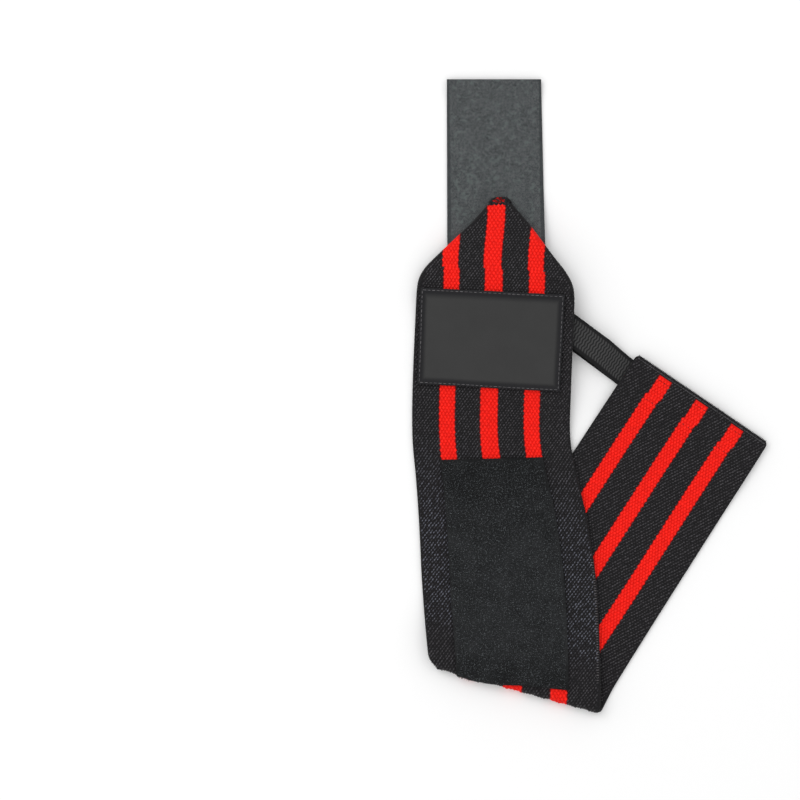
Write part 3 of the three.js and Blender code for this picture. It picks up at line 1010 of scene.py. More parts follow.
def yarn(name, dark, light, roughness, scale=700.0, highlight=None):
    """A yarn whose colour varies from stitch to stitch, with an optional painted highlight beside the loop
    patch.
    """
    finish = Finish(name, roughness)
    fleck = finish.noise(scale)
    fibre = finish.noise(scale * 6)
    if highlight:
        # Painted highlight on the dashes beside the loop patch, fading out before the fold
        right, up = finish.split(finish.object_place())
        to_fold = (up * math.cos(FOLD_SLANT) + right * math.sin(FOLD_SLANT)) * (-1 / MM)
        share = finish.between(to_fold, *HIGHLIGHT_RUN) - finish.between(to_fold, *FOLD_SHADE_RUN)
        light = finish.blend(share, light, highlight)
    colour = finish.blend(finish.between(fleck, 0.4, 0.6), dark, light)
    return finish.paint(colour, fibre * 0.2 + (roughness - 0.1), fibre, depth=0.08)


def thread(name, colour, roughness, depth=0.6, lift=1.0):
    """Sewing thread of one colour, some stitches darker by one factor and some lifted by the other."""
    return yarn(name, shaded(colour, depth), shaded(colour, lift), roughness)


def tab_cloth(tab):
    """The back of the hook tape: a fine grain, clouded a little, with a darker selvage."""
    finish = Finish("hook_fabric", roughness=0.7, sheen=0.05)
    across, along = finish.cloth_place()
    grain = finish.noise(scale=1400.0, detail=3.0)
    cloud = finish.noise(scale=220.0)
    tone = finish.noise(scale=500.0, detail=1.0)
    weave = finish.sine(across * (TAU / TAB_WEAVE[0])) * finish.sine(along * (TAU / TAB_WEAVE[1]))
    share = grain * 0.8 + cloud * 0.25 - 0.03 + weave * 0.22
    colour = finish.blend(finish.between(share, 0.25, 0.75), tab.shade, tab.cloth)
    red, green, blue = tab.cloth[:3]
    cool = shaded((red * 0.92, green * 1.04, blue * 0.98), 1.05)
    colour = finish.blend(finish.between(tone, 0.5, 0.75) * 0.6, colour, cool)
    selvage = finish.between(abs(across), *SELVAGE_BLUR)
    colour = finish.blend(selvage * 0.6, colour, tab.shade)
    return finish.paint(colour, grain * 0.25 + 0.58, grain + weave * 0.35, depth=0.14)


def pile_ground(patch):
    """The cloth under the pile, with painted light making the middle of the patch a little lighter."""
    finish = Finish("loop_pile_ground", roughness=0.95)
    fuzz = finish.noise(scale=1600.0, detail=3.0)
    cloud = finish.noise(scale=110.0, detail=3.0)
    along = finish.cloth_place()[1]
    # Painted light over the middle of the patch, fading out towards its ends
    lit = finish.between(along, 0.0, PATCH_LENGTH * 0.5) * 0.14
    lit = lit - finish.between(along, PATCH_LENGTH * 0.8, PATCH_LENGTH) * 0.14
    share = finish.between(fuzz * 0.7 + cloud * 0.4 + lit, 0.4, 1.0)
    colour = finish.blend(share, shaded(patch.ground, 0.45), shaded(patch.ground, 2.2))
    return finish.paint(colour, fuzz * 0.1 + 0.88, fuzz, depth=0.3)


def label_cloth(label):
    """Pressed artificial leather, darker in the rim and the channel."""
    finish = Finish("label_leather", roughness=0.7)
    across, along = finish.cloth_place()
    grain = finish.add("ShaderNodeTexVoronoi", {"Vector": finish.object_place(), "Scale": 1500.0})
    cloud = finish.noise(scale=90.0, detail=3.0)
    rim = label.rim_width / MM
    edge = LABEL_WIDTH / 2 - rim
    end = LABEL_LENGTH - rim
    from_middle = abs(across - LABEL_SHIFT)
    side = finish.between(from_middle, edge - RIM_FADE_INSIDE, edge + RIM_FADE_OUTSIDE)
    first_end = 1 - finish.between(along, rim - TOP_RIM_FADE_OUTSIDE, rim + TOP_RIM_FADE_INSIDE)
    last_end = finish.between(along, end - RIM_FADE_INSIDE, end + RIM_FADE_OUTSIDE)
    face = finish.blend(cloud * 0.5, label.face, shaded(label.face, 0.8))
    colour = finish.blend(finish.largest(side, first_end, last_end), face, label.rim)
    return finish.paint(colour, cloud * 0.2 + 0.62, grain * 0.6 + cloud * 0.8, depth=0.08)


def ribbed_cloth(tape):
    """Elastic tape, with painted highlight on the crests of its wavy ribs and painted shade between them."""
    finish = Finish("ribbed_tape", roughness=0.85, sheen=0.05)
    across, along = finish.cloth_place()
    wave = finish.sine(across * (TAU / RIB_WAVE_LENGTH)) * RIB_WAVE
    rib = finish.sine((along + wave) * (TAU / (tape.rib_pitch / MM))) * 0.5 + 0.5
    inside = 1 - finish.between(abs(across), *TAPE_BORDER_BLUR)
    fuzz = finish.noise(scale=1200.0, detail=3.0)
    # Painted highlight on the rib crests, painted shade in the hollows
    colour = finish.blend(rib * inside * (fuzz * 0.8 + 0.4), tape.dark, tape.light)
    return finish.paint(colour, fuzz * 0.15 + 0.76, fuzz, depth=0.12)


def stage_floor(stage):
    finish = Finish("pale_floor", roughness=0.6)
    cloud = finish.noise(scale=3.0)
    return finish.paint(finish.blend(cloud, stage.floor, shaded(stage.floor, 0.985)))


# Repeated small shapes, made with Geometry Nodes

class Recipe(Board):
    """A Geometry Nodes tree with named inputs."""

    def __init__(self, name, inputs):
        super().__init__(bpy.data.node_groups.new(name, "GeometryNodeTree"))
        sockets = self.tree.interface
        sockets.new_socket("Geometry", in_out="OUTPUT", socket_type="NodeSocketGeometry")
        self.names = {}
        for title, kind in inputs.items():
            item = sockets.new_socket(title, in_out="INPUT", socket_type="NodeSocket" + kind)
            self.names[title] = item.identifier
        self.given = self.tree.nodes.new("NodeGroupInput").outputs

    def attribute(self, name):
        return self.add("GeometryNodeInputNamedAttribute", {"Name": name}, data_type="FLOAT_VECTOR")

    def end(self, geometry):
        self.feed(self.tree.nodes.new("NodeGroupOutput").inputs[0], geometry)


def grain_shape(recipe):
    """A low stitch with four slanted sides."""
    inputs = {"Vertices": 4, "Radius Top": 0.25, "Radius Bottom": 0.5, "Depth": 1.0}
    return recipe.add("GeometryNodeMeshCone", inputs, fill_type="NGON")


def thread_shape(recipe):
    """A rounded stitch of thread."""
    return recipe.add("GeometryNodeMeshUVSphere", {"Radius": 0.5, "Segments": 8, "Rings": 4})


def arc_shape(recipe):
    """A little standing loop of yarn, two wide and one high before it is scaled."""
    inputs = {"Resolution": 4, "Radius": 1.0, "Start Angle": 0.0, "Sweep Angle": math.pi}
    arc = recipe.add("GeometryNodeCurveArc", inputs, mode="RADIUS")
    standing = recipe.add("GeometryNodeTransform", {"Geometry": arc, "Rotation": (RIGHT_ANGLE, 0, 0)})
    inputs = {"Resolution": 3, "Radius": 0.2}
    ring = recipe.add("GeometryNodeCurvePrimitiveCircle", inputs, mode="RADIUS")
    inputs = {"Curve": standing, "Profile Curve": ring, "Fill Caps": True}
    return recipe.add("GeometryNodeCurveToMesh", inputs)


def repeat_recipe(name, shape, variation):
    """Puts one small shape on every vertex, along its "thread_way" and up its "normal_way"."""
    recipe = Recipe(name, REPEAT_INPUTS)
    given = recipe.given
    ways = {"Primary Axis": recipe.attribute("normal_way"), "Secondary Axis": recipe.attribute("thread_way")}
    rotation = recipe.add("FunctionNodeAxesToRotation", ways, primary_axis="Z", secondary_axis="X")
    sides = {"X": given["Length"], "Y": given["Width"], "Z": given["Height"]}
    size = recipe.add("ShaderNodeCombineXYZ", sides)
    limits = {2: 1 - variation, 3: 1 + variation, "Seed": given["Seed"]}
    factor = recipe.add("FunctionNodeRandomValue", limits, output=1, data_type="FLOAT")
    scale = recipe.add("ShaderNodeVectorMath", {0: size, "Scale": factor}, operation="SCALE")
    inputs = {"Points": given["Geometry"], "Instance": shape(recipe), "Rotation": rotation, "Scale": scale}
    placed = recipe.add("GeometryNodeInstanceOnPoints", inputs)
    real = recipe.add("GeometryNodeRealizeInstances", {"Geometry": placed})
    rounded = recipe.add("GeometryNodeSetShadeSmooth", {"Geometry": real})
    painted = recipe.add("GeometryNodeSetMaterial", {"Geometry": rounded, "Material": given["Material"]})
    recipe.end(painted)
    return recipe


def spots_object(name, points, ways, normals):
    """An object of bare vertices that carry the ways in which the small shapes run and stand."""
    mesh = bpy.data.meshes.new(name)
    mesh.from_pydata([tuple(point) for point in in_frame(points)], [], [])
    for attribute, values in (("thread_way", ways), ("normal_way", normals)):
        layer = mesh.attributes.new(attribute, "FLOAT_VECTOR", "POINT")
        layer.data.foreach_set("vector", np.ascontiguousarray(values).ravel())
    return linked_object(name, mesh)


def repeat_on(name, spots, shape, size, material, seed, variation=0.12):
    """A piece of many small shapes. "spots" are points, the ways they run and their normals."""
    carrier = spots_object(name + "_spots", *spots)
    recipe = repeat_recipe(name, shape, variation)
    modifier = carrier.modifiers.new(name, "NODES")
    modifier.node_group = recipe.tree
    values = dict(zip(("Length", "Width", "Height"), (side * MM for side in size)))
    for title, value in {**values, "Seed": seed, "Material": material}.items():
        modifier[recipe.names[title]] = value
    depsgraph = bpy.context.evaluated_depsgraph_get()
    made = bpy.data.meshes.new_from_object(carrier.evaluated_get(depsgraph))
    bpy.data.objects.remove(carrier)
    made.name = name
    if not made.polygons:
        raise RuntimeError(name + " came out empty")
    return linked_object(name, made)


def spots_on(surface, first, second, height, angle=0.0):
    """Places at a height off a surface. The thread runs at an angle from the second length's way."""
    first, second = np.asarray(first, float), np.asarray(second, float)
    height = np.broadcast_to(np.asarray(height, float), first.shape)
    across, normal = way_and_normal(surface, first, second)
    points = surface(first, second) + normal * height[..., None]
    outwards = normal * np.where(height < 0, -1.0, 1.0)[..., None]
    along = np.cross(across, outwards)
    angle = np.asarray(angle)[..., None]
    return points, across * np.cos(angle) + along * np.sin(angle), outwards


def joined(*groups):
    return tuple(np.concatenate(parts) for parts in zip(*groups))


def kept(places, test):
    return tuple(lengths[test] for lengths in places)


def grid(rows, columns):
    """Every place of a grid, row by row."""
    first, second = np.meshgrid(rows, columns, indexing="ij")
    return first.ravel(), second.ravel()


def seam(surface, corners, pitch, height):
    """Stitches along straight lines on a surface, from corner to corner."""
    groups = []
    for start, end in zip(corners[:-1], corners[1:]):
        start, end = np.array(start, float), np.array(end, float)
        count = max(int(round(np.linalg.norm(end - start) / pitch)), 1)
        share = (np.arange(count) + 0.5) / count
        first, second = (mix(start[part], end[part], share) for part in (0, 1))
        bearing = math.atan2(-(end[0] - start[0]), end[1] - start[1])
        groups.append(spots_on(surface, first, second, height, bearing))
    return joined(*groups)


# The band and its weave

def girth_of(along, share):
    """Spreads the columns evenly over the sheet, and closer round a turned corner."""
    side, place = np.sign(share), np.abs(share) * 2
    start, reach = girth_to_edge(along), turned_reach(along)
    turn = np.minimum(reach, TURN_ARC)
    core = start * np.clip(place / CORE_SHARE, 0.0, 1.0)
    bend = turn * np.clip((place - CORE_SHARE) / (TURN_SHARE - CORE_SHARE), 0.0, 1.0)
    flap = (reach - turn) * np.clip((place - TURN_SHARE) / (1 - TURN_SHARE), 0.0, 1.0)
    return side * mix(place * (start + reach), core + bend + flap, smooth(reach / TURN_ARC))


def band_stations():
    """Rows of the band, closer at its ends and round the fold."""
    fold_half = FOLD_ARC / 2 / math.cos(FOLD_SLANT) + 1
    fold_start, fold_end = FOLD_MIDDLE - fold_half, FOLD_MIDDLE + fold_half
    hem_start = BAND_END - HEM_ROWS_RUN
    return np.concatenate([
        end_steps(0.0, POINT_ROWS_RUN, END_STEP, CLOTH_THICKNESS)[:-END_ROWS],
        steps(POINT_ROWS_RUN, fold_start, BAND_STEP)[:-1],
        steps(fold_start, fold_end, FOLD_STEP)[:-1],
        steps(fold_end, hem_start, BAND_STEP)[:-1],
        end_steps(hem_start, BAND_END, END_STEP, CLOTH_THICKNESS)[END_ROWS:],
    ])


def band_sheet(weave):
    def place(station, share, level, stand):
        girth = girth_of(station, share)
        along = slanted_row(station, girth)
        girth = girth * (1 - fold_trim(along, side_of(girth)) / outline_half_width(along))
        girth = girth + stand * CLOTH_THICKNESS / 2
        height = slab_height(level, station, 0.0, BAND_END, CLOTH_THICKNESS)
        return raised(sheet_point, along, girth, height), pairs(plain_offset(along, girth), along)
    return cloth_slab("band_cloth", band_stations(), BAND_COLUMNS, place, striped_cloth(weave))


def under_cover(along, girth):
    """True where the label or the loop patch hides the upper face."""
    label_end = LABEL_START + LABEL_LENGTH
    on_label = (along > LABEL_START + COVER_MARGIN) & (along < label_end - COVER_MARGIN)
    on_label &= np.abs(girth - LABEL_SHIFT) < LABEL_WIDTH / 2 - COVER_MARGIN
    on_patch = (along > PATCH_START + PATCH_TOP_COVER) & (along < PATCH_END - PATCH_END_COVER)
    wider = widening(along)
    on_patch &= np.abs(girth - PATCH_SHIFT * wider) < PATCH_WIDTH / 2 * wider - COVER_MARGIN
    return on_label | on_patch


def on_the_sheet(along, girth):
    """True inside the turned corners and the rounded corners of the fold."""
    return np.abs(girth) < girth_to_edge(along) - fold_trim(along, side_of(girth)) - SHEET_MARGIN


def dash_grid(weave):
    """Staggered, slightly uneven places of the twill's dashes, outside the stripes."""
    pitch, row_step = weave.dash_pitch / MM, weave.dash_row / MM
    rows = np.arange(TIP_CAP, BAND_END - DASH_END, row_step)
    columns = np.arange(-BAND_WIDTH / 2, BAND_WIDTH / 2, pitch)
    along, offset = grid(rows, columns)
    number = np.repeat(np.arange(len(rows)), len(columns))
    offset = offset + (number * DASH_STAGGER % 1.0) * pitch
    chance = np.random.default_rng(DASH_SEED)
    along = along + chance.uniform(-0.5, 0.5, along.size) * row_step * DASH_SCATTER
    offset = offset + chance.uniform(-0.5, 0.5, offset.size) * pitch * DASH_SCATTER
    places = (along, offset * widening(along))
    return kept(places, on_the_sheet(*places) & ~is_striped(*places))


def stripe_grid(weave):
    """Staggered places of the red stitches, one more in every second row of a stripe."""
    pitch = weave.stitch_across / MM
    rows = np.arange(TIP_CAP, BAND_END - HEM_BORDER - STITCH_END, weave.stitch_along / MM)
    groups = []
    for first_row, count in enumerate(STITCHES_IN_ROW):
        along = rows[first_row::2]
        offsets = np.clip((np.arange(count) - (count - 1) / 2) * pitch, -STITCH_REACH, STITCH_REACH)
        for middle, half in zip(stripe_middles(along), stripe_halves(along)):
            offset = middle[:, None] + offsets * half[:, None] / STITCHED_HALF
            groups.append((np.repeat(along, count), (offset * widening(along)[:, None]).ravel()))
    places = joined(*groups)
    return kept(places, on_the_sheet(*places))


def rested(spots):
    """Sinks the stitches of the undersides into the cloth, so that none dips into the table."""
    points, ways, normals = spots
    down = -normals[:, 2]
    resting = (points[:, 2] < LEAST_HEIGHT) & (down > 0)
    lift = np.where(down > FLAT_ENOUGH, FLAT_LIFT, ROLLED_LIFT) * resting
    return points + np.outer(lift, (0.0, 0.0, 1.0)), ways, normals


def shape_size(shares, lengths):
    """Shares of lengths that are given in metres, in millimetres."""
    return tuple(length / MM * share for length, share in zip(lengths, shares))


def weave_pieces(weave, sewing):
    """The raised stitches of the stripes and of the black twill, on both faces."""
    red_yarn = thread("red_yarn", weave.red, roughness=0.55, depth=0.85, lift=1.1)
    # The dash yarns are lighter than the ground partly as painted highlight on the raised floats
    shadow = shaded(weave.black_yarn, 0.45)
    black_yarn = yarn("black_yarn", shadow, weave.black_yarn, roughness=0.6, scale=500.0)
    # The outer dashes get a painted highlight beside the loop patch
    worn_yarn = yarn(
        "worn_yarn", shadow, weave.black_yarn, roughness=0.5, scale=500.0, highlight=weave.worn_yarn)
    relief = weave.relief / MM
    red_size = shape_size(STITCH_SHAPE, (weave.stitch_across, weave.stitch_along)) + (relief,)
    dash_size = shape_size(DASH_SHAPE, (weave.dash_row, weave.dash_pitch)) + (relief,)
    reds, dashes = stripe_grid(weave), dash_grid(weave)
    bare_reds, bare_dashes = (kept(places, ~under_cover(*places)) for places in (reds, dashes))
    height = CLOTH_THICKNESS / 2 - SUNK
    faces = (
        ("outer", height, bare_reds, bare_dashes, worn_yarn),
        ("inner", -height, reds, dashes, black_yarn),
    )
    pieces = []
    for face, off, red_places, dash_places, dash_yarn in faces:
        spots = rested(spots_on(band_point, *red_places, off))
        pieces.append(repeat_on("red_stitches_" + face, spots, grain_shape, red_size, red_yarn, sewing.seed))
        spots = rested(spots_on(band_point, *dash_places, off, -DASH_LEAN))
        name = "black_dashes_" + face
        seed = sewing.seed + 1
        pieces.append(repeat_on(name, spots, grain_shape, dash_size, dash_yarn, seed, DASH_VARIATION))
    return pieces


# The tab, patch, label and thumb loop

def tab_sheet(tab):
    def place(station, share, level, stand):
        width = mix(TAB_END_WIDTH, TAB_WIDTH, (station - TAB_START) / TAB_LENGTH) - TAB_BACKING
        across = share * width + stand * TAB_BACKING / 2
        height = TAB_LIFT + slab_height(level, station, TAB_START, TAB_OVERLAP, TAB_BACKING)
        return raised(tab_point, station, across, height), pairs(across, station - TAB_START)
    stations = end_steps(TAB_START, TAB_OVERLAP, TAB_STEP, TAB_BACKING)
    return cloth_slab("tab_cloth", stations, TAB_COLUMNS, place, tab_cloth(tab))


def tab_hooks(tab):
    """Low hooks on the tab's underside."""
    pitch = tab.hook_pitch / MM
    half = TAB_END_WIDTH / 2 - HOOK_SIDE_BORDER
    along, across = grid(
        np.arange(TAB_START + HOOK_END_BORDER, TAB_OVERLAP - HOOK_END_BORDER, pitch),
        np.arange(-half, half, pitch * HOOK_CLOSENESS))
    points, ways, _ = spots_on(tab_point, along, across, TAB_LIFT - TAB_BACKING / 2, RIGHT_ANGLE)
    downwards = -way_and_normal(tab_point, along, across)[1]
    hook_yarn = yarn("hook_yarn", shaded(tab.hook, 0.7), tab.hook, roughness=0.35, scale=900.0)
    size = shape_size(HOOK_SHAPE, [tab.hook_height] * 3)
    return repeat_on("tab_hooks", (points, ways, downwards), arc_shape, size, hook_yarn, HOOK_SEED)


def patch_sheet(patch):
    inner_share = 1 - PATCH_BACKING / PATCH_WIDTH

    def place(station, share, level, stand):
        along, across = patch_place(station, share * inner_share)
        across = across + stand * PATCH_BACKING / 2
        off = slab_height(level, station, PATCH_START, PATCH_END, PATCH_BACKING)
        height = COVER_BASE + PATCH_BACKING / 2 + off
        return raised(band_point, along, across, height), pairs(across, station - PATCH_START)

    fold_zone = PATCH_END - PATCH_FOLD_RUN
    stations = np.concatenate([
        end_steps(PATCH_START, fold_zone, BAND_STEP, PATCH_BACKING)[:-END_ROWS],
        end_steps(fold_zone, PATCH_END, PATCH_FOLD_STEP, PATCH_BACKING)[END_ROWS:],
    ])
    return cloth_slab("patch_cloth", stations, PATCH_COLUMNS, place, pile_ground(patch))


def patch_pile(patch, sewing):
    """Small leaning loops all over the patch."""
    chance = np.random.default_rng(sewing.seed)
    pitch = patch.loop_pitch / MM
    half_share = 0.5 - PILE_SIDE_BORDER / PATCH_WIDTH
    station, share = grid(
        np.arange(PATCH_START + PILE_TOP_BORDER, PATCH_END - PILE_END_BORDER, pitch),
        np.arange(-half_share, half_share, pitch / PATCH_WIDTH))
    station = station + chance.uniform(-PILE_SCATTER_ALONG, PILE_SCATTER_ALONG, station.size)
    share = share + chance.uniform(-PILE_SCATTER_ACROSS, PILE_SCATTER_ACROSS, share.size)
    along, across = patch_place(station, share)
    angle = chance.uniform(-math.pi, math.pi, along.size)
    points, ways, normals = spots_on(
        band_point, along, across, COVER_BASE + PATCH_BACKING - SUNK, angle)
    normals = normals + ways * chance.uniform(-PILE_LEAN, PILE_LEAN, along.size)[:, None]
    normals /= np.linalg.norm(normals, axis=-1, keepdims=True)
    pile_yarn = yarn("pile_yarn", patch.pile, patch.tips, roughness=0.8, scale=900.0)
    size = shape_size(PILE_SHAPE, [patch.loop_height] * 3)
    spots = (points, ways, normals)
    return repeat_on("patch_pile", spots, arc_shape, size, pile_yarn, sewing.seed, PILE_VARIATION)


def label_sheet(label):
    """A low pillow inside a pressed channel and a flat rim."""
    rim = label.rim_width / MM
    end = LABEL_START + LABEL_LENGTH

    def place(station, share, level, stand):
        across = LABEL_SHIFT + share * (LABEL_WIDTH - LABEL_THICKNESS) + stand * LABEL_THICKNESS / 2
        from_side = LABEL_WIDTH / 2 - np.abs(across - LABEL_SHIFT)
        from_edge = np.minimum(from_side, np.minimum(station - LABEL_START, end - station))
        channel = np.exp(-((from_edge - rim) / CHANNEL_HALF) ** 2) * CHANNEL_DEPTH
        pillow = smooth((from_edge - rim) / PILLOW_RUN) * PILLOW_HEIGHT
        relief = np.where(level > 0, pillow - channel, 0.0)
        off = slab_height(level, station, LABEL_START, end, LABEL_THICKNESS)
        height = COVER_BASE + LABEL_THICKNESS / 2 + off + relief
        return raised(band_point, station, across, height), pairs(across, station - LABEL_START)

    stations = end_steps(LABEL_START, end, LABEL_STEP, LABEL_THICKNESS)
    return cloth_slab("label_face", stations, LABEL_COLUMNS, place, label_cloth(label))


def label_stitches(label, sewing):
    """One row of stitches round the label's rim."""
    half = LABEL_WIDTH / 2 - LABEL_STITCH_INSET
    left, right = LABEL_SHIFT - half, LABEL_SHIFT + half
    top, bottom = LABEL_START + LABEL_STITCH_INSET, LABEL_START + LABEL_LENGTH - LABEL_STITCH_INSET
    corners = [(top, left), (top, right), (bottom, right), (bottom, left), (top, left)]
    pitch = label.stitch_pitch / MM
    spots = seam(band_point, corners, pitch, COVER_BASE + LABEL_THICKNESS)
    pale = thread("label_thread", label.thread, roughness=0.6)
    thickness = sewing.thickness / MM * LABEL_STITCH_SHARE
    size = (pitch * STITCH_COVER, thickness, thickness)
    return repeat_on("label_stitches", spots, thread_shape, size, pale, LABEL_SEED)


def tape_sheet(tape):
    """The thumb loop's tape, with its wavy ribs."""
    pitch, relief, border = tape.rib_pitch / MM, tape.rib_height / MM, tape.border / MM

    def place(station, share, level, stand):
        across = share * (TAPE_WIDTH - TAPE_CLOTH) + stand * TAPE_CLOTH / 2
        inside = smooth((TAPE_WIDTH / 2 - border - np.abs(across)) / RIB_FADE)
        wave = RIB_WAVE * np.sin(across * TAU / RIB_WAVE_LENGTH)
        rib = np.sin((station + wave) * TAU / pitch) * inside * relief / 2
        height = slab_height(level, station, 0.0, TAPE_LENGTH, TAPE_CLOTH) + level * 2 * rib
        return raised(tape_point, station, across, height), pairs(across, station)

    stations = end_steps(0.0, TAPE_LENGTH, pitch / ROWS_IN_RIB, TAPE_CLOTH)
    return cloth_slab("thumb_tape", stations, TAPE_COLUMNS, place, ribbed_cloth(tape))


# The sewing

def hem_row(inset, pitch, height):
    """A row of stitches along the hem."""
    half = HEM_HALF - HEM_SIDE_BORDER
    line = [(BAND_END - inset, -half), (BAND_END - inset, half)]
    return seam(band_point, line, pitch, height)


def seam_spots(pitch):
    """Stitches that hold the tape at the hem, on both faces, and the tab under the point."""
    half = CLOTH_THICKNESS / 2
    insets = (TAPE_INSET + TAPE_SEAM_INSET, TAPE_INSET + TAPE_WIDTH - TAPE_SEAM_INSET)
    rows = [hem_row(inset, pitch, height) for height in (half, -half) for inset in insets]
    tab_half = TAB_WIDTH / 2 + TAB_SHIFT
    across = np.arange(-tab_half, tab_half, pitch)
    places = (np.full(across.shape, TAB_SEAM), across)
    return joined(*rows, spots_on(band_point, *kept(places, ~is_striped(*places)), half))


def edge_seam(side, start, end):
    """A chain of stitches on both faces, along one edge of the band."""
    along = np.arange(start, end, CHAIN_PITCH)
    across = side * (outline_half_width(along) - fold_trim(along, side) - CHAIN_INSET)
    half = CLOTH_THICKNESS / 2
    return joined(spots_on(band_point, along, across, half), spots_on(band_point, along, across, -half))


def dark_chain():
    """The chain down the left edge, and down the right one but for its pale stretch."""
    end = BAND_END - CHAIN_END_BORDER
    stretches = ((-1, CHAIN_START, end), (1, CHAIN_START, PALE_START), (1, FOLD_START, end))
    return joined(*(edge_seam(*stretch) for stretch in stretches))


def hem_overlock():
    """The stitches along the hem, on both faces."""
    half = CLOTH_THICKNESS / 2
    return joined(*(hem_row(OVERLOCK_INSET, OVERLOCK_PITCH, height) for height in (half, -half)))


def hem_wraps():
    """Threads that go round the hem's edge."""
    half = HEM_HALF - HEM_SIDE_BORDER
    across = np.arange(-half, half, WRAP_PITCH)
    return spots_on(band_point, np.full(across.shape, BAND_END - WRAP_INSET), across, 0.0, RIGHT_ANGLE)


def cap_spots():
    """The close zigzag sewing over the very tip of the band: the black stitches and the red ones."""
    groups = ([], [])
    for number, row in enumerate(np.arange(CAP_START, TIP_CAP, CAP_ROW)):
        reach = float(outline_half_width(np.array([row]))[0]) - CAP_BORDER
        across = np.arange(-reach, reach + LAST_PLACE_ROOM, CAP_PITCH)
        in_the_middle = (np.abs(across + CAP_RED_SHIFT) < CAP_RED_HALF) & (row < CAP_RED_END)
        number_in_row = np.arange(len(across))
        flecked = in_the_middle & ((number_in_row - number) % CAP_FLECK_CYCLE != 0)
        for group, chosen in zip(groups, (~flecked, flecked)):
            places = (np.full(int(chosen.sum()), row), across[chosen])
            if chosen.any():
                lean = CAP_LEAN if number % 2 else -CAP_LEAN
                group.append(spots_on(band_point, *places, CLOTH_THICKNESS / 2, lean))
    return [joined(*group) for group in groups]


def sewing_pieces(sewing, weave):
    """Every seam, chain and edging of the band, and the cap of its tip."""
    dark = thread("dark_thread", sewing.dark, roughness=0.7, depth=0.7, lift=1.3)
    grey = thread("grey_thread", sewing.grey, roughness=0.7)
    pale = thread("pale_thread", sewing.pale, roughness=0.7)
    black = thread("cap_thread", sewing.dark, roughness=0.6, depth=0.5)
    red = thread("cap_red_thread", weave.red, roughness=0.6, depth=0.12, lift=0.5)
    pitch, thickness, seed = sewing.pitch / MM, sewing.thickness / MM, sewing.seed
    black_cap, red_cap = cap_spots()
    rows = (
        ("seam_stitches", seam_spots(pitch), (pitch * STITCH_COVER, thickness, thickness), dark, seed),
        ("selvage_chain", dark_chain(), CHAIN_STITCH, dark, seed),
        ("pale_chain", edge_seam(1, PALE_START, FOLD_START), CHAIN_STITCH, pale, seed),
        ("hem_overlock", hem_overlock(), OVERLOCK_STITCH, grey, seed),
        ("hem_wraps", hem_wraps(), WRAP_STITCH, dark, seed),
        ("tip_cap", black_cap, CAP_STITCH, black, CAP_SEED),
        ("tip_cap_red", red_cap, CAP_STITCH, red, CAP_SEED),
    )
    return [repeat_on(name, spots, thread_shape, *details) for name, spots, *details in rows]


# Operators

def name_pieces(slot, node, sheet, *others):
    """Hides the solid that the sheet stands for, and hangs the sheet and what is on it on the root body; the
    slot is not used.
    """
    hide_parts(node)
    for piece in (sheet, *others):
        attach(piece, "root")


class WRAP_OT_band(Operator):
    """Weave the striped elastic band, with its raised stitches and its sewing."""
    bl_idname = "wrap.band"
    bl_label = "Band"

    def execute(self, context):
        scene = context.scene
        weave, sewing = scene.wrap_weave, scene.wrap_sewing
        cloth = band_sheet(weave)
        relief = weave_pieces(weave, sewing) + sewing_pieces(sewing, weave)
        name_pieces("striped_elastic", "wrap_band", cloth, *relief)
        return {"FINISHED"}


class WRAP_OT_tab(Operator):
    """Make the hook tab under the point."""
    bl_idname = "wrap.tab"
    bl_label = "Hook tab"

    def execute(self, context):
        tab = context.scene.wrap_tab
        cloth, hooks = tab_sheet(tab), tab_hooks(tab)
        name_pieces("hook_fabric", "hook_tab", cloth, hooks)
        return {"FINISHED"}


class WRAP_OT_patch(Operator):
    """Make the fuzzy loop patch."""
    bl_idname = "wrap.patch"
    bl_label = "Loop patch"

    def execute(self, context):
        scene = context.scene
        cloth, pile = patch_sheet(scene.wrap_patch), patch_pile(scene.wrap_patch, scene.wrap_sewing)
        name_pieces("loop_pile", "loop_patch", cloth, pile)
        return {"FINISHED"}


class WRAP_OT_label(Operator):
    """Make the bare label and the stitches round it."""
    bl_idname = "wrap.label"
    bl_label = "Label"

    def execute(self, context):
        scene = context.scene
        face, stitches = label_sheet(scene.wrap_label), label_stitches(scene.wrap_label, scene.wrap_sewing)
        name_pieces("label_leather", "label_patch", face, stitches)
        return {"FINISHED"}


class WRAP_OT_loop(Operator):
    """Make the ribbed elastic thumb loop."""
    bl_idname = "wrap.loop"
    bl_label = "Thumb loop"

    def execute(self, context):
        tape = tape_sheet(context.scene.wrap_tape)
        name_pieces("ribbed_tape", "thumb_loop", tape)
        return {"FINISHED"}


def add_sky(scene, strength):
    world = bpy.data.worlds.new("soft_sky")
    world.use_nodes = True
    sky = world.node_tree.nodes["Background"]
    sky.inputs["Color"].default_value = (1, 1, 1, 1)
    sky.inputs["Strength"].default_value = strength
    scene.world = world


def add_key_light(power):
    """A large round light that points at the frame's origin."""
    lamp = bpy.data.lights.new("key_light", "AREA")
    lamp.shape = "DISK"
    lamp.size = KEY_SIZE
    lamp.energy = power
    light = linked_object("key_light", lamp)
    light.location = KEY_PLACE
    light.rotation_euler = (-KEY_PLACE).to_track_quat("-Z", "Y").to_euler()


def add_camera(scene, stage):
    """A camera straight above, which sees the stage's picture width of the floor."""
    camera = linked_object("camera", bpy.data.cameras.new("camera"))
    camera.data.sensor_width = SENSOR_WIDTH
    camera.data.lens = SENSOR_WIDTH * stage.camera_height / stage.picture_width
    camera.location = PICTURE_MIDDLE + Vector((0, 0, stage.camera_height))
    scene.camera = camera


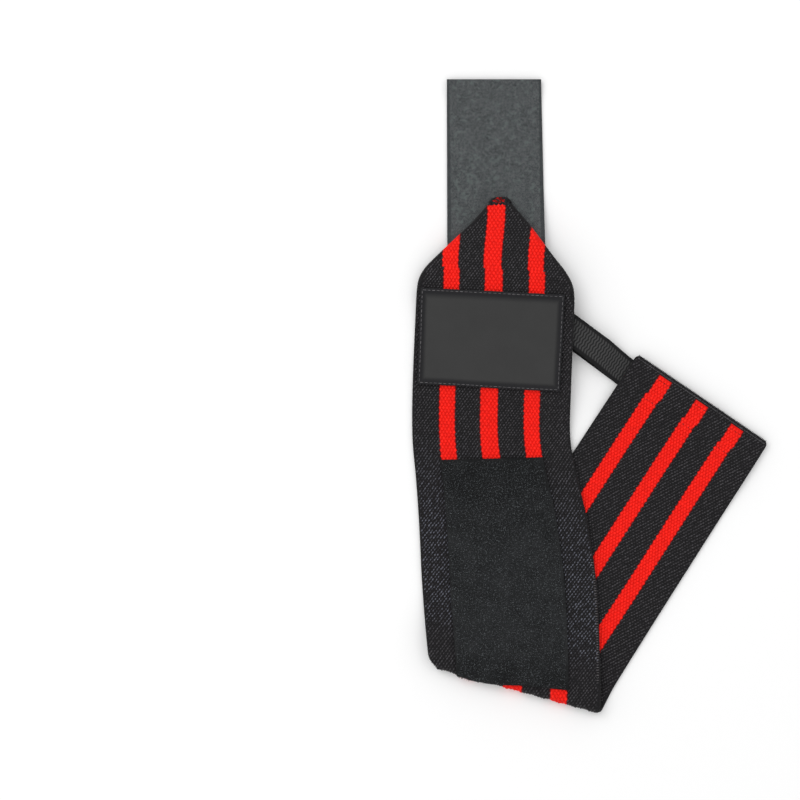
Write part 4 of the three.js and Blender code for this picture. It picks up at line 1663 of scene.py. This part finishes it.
class WRAP_OT_stage(Operator):
    """Set the floor, the soft light and the camera straight above."""
    bl_idname = "wrap.stage"
    bl_label = "Stage"

    def execute(self, context):
        scene = context.scene
        stage = scene.wrap_stage
        corners = np.array([(-1, -1, 0), (1, -1, 0), (1, 1, 0), (-1, 1, 0)]) * FLOOR_HALF
        floor = mesh_object("floor", corners, [[0, 1, 2, 3]], stage_floor(stage))
        add_sky(scene, stage.sky_strength)
        scene.view_settings.view_transform = "Standard"
        add_key_light(stage.key_power)
        add_camera(scene, stage)
        return {"FINISHED"}


class WRAP_PT_panel(Panel):
    """Buttons and sizes of the wrist wrap."""
    bl_idname = "WRAP_PT_panel"
    bl_label = "Wrist Wrap"
    bl_space_type = "VIEW_3D"
    bl_region_type = "UI"
    bl_category = "Wrist Wrap"

    def draw(self, context):
        for operator in OPERATORS:
            self.layout.operator(operator.bl_idname)
        for group in SETTINGS:
            box = self.layout.box()
            settings = getattr(context.scene, group)
            for name in settings.bl_rna.properties.keys():
                if name not in {"rna_type", "name"}:
                    box.prop(settings, name)


SETTINGS = {
    "wrap_weave": WeaveSettings,
    "wrap_tab": TabSettings,
    "wrap_patch": PatchSettings,
    "wrap_label": LabelSettings,
    "wrap_tape": TapeSettings,
    "wrap_sewing": SewingSettings,
    "wrap_stage": StageSettings,
}
OPERATORS = (WRAP_OT_stage, WRAP_OT_band, WRAP_OT_tab, WRAP_OT_patch, WRAP_OT_label, WRAP_OT_loop)


def register():
    for kind in (*SETTINGS.values(), *OPERATORS, WRAP_PT_panel):
        bpy.utils.register_class(kind)
    for name, kind in SETTINGS.items():
        setattr(bpy.types.Scene, name, PointerProperty(type=kind))


def unregister():
    for name in SETTINGS:
        delattr(bpy.types.Scene, name)
    for kind in (WRAP_PT_panel, *OPERATORS, *SETTINGS.values()):
        bpy.utils.unregister_class(kind)


def main():
    register()
    bpy.ops.wrap.stage()
    bpy.ops.wrap.band()
    bpy.ops.wrap.tab()
    bpy.ops.wrap.patch()
    bpy.ops.wrap.label()
    bpy.ops.wrap.loop()


if __name__ == "__main__":
    main()
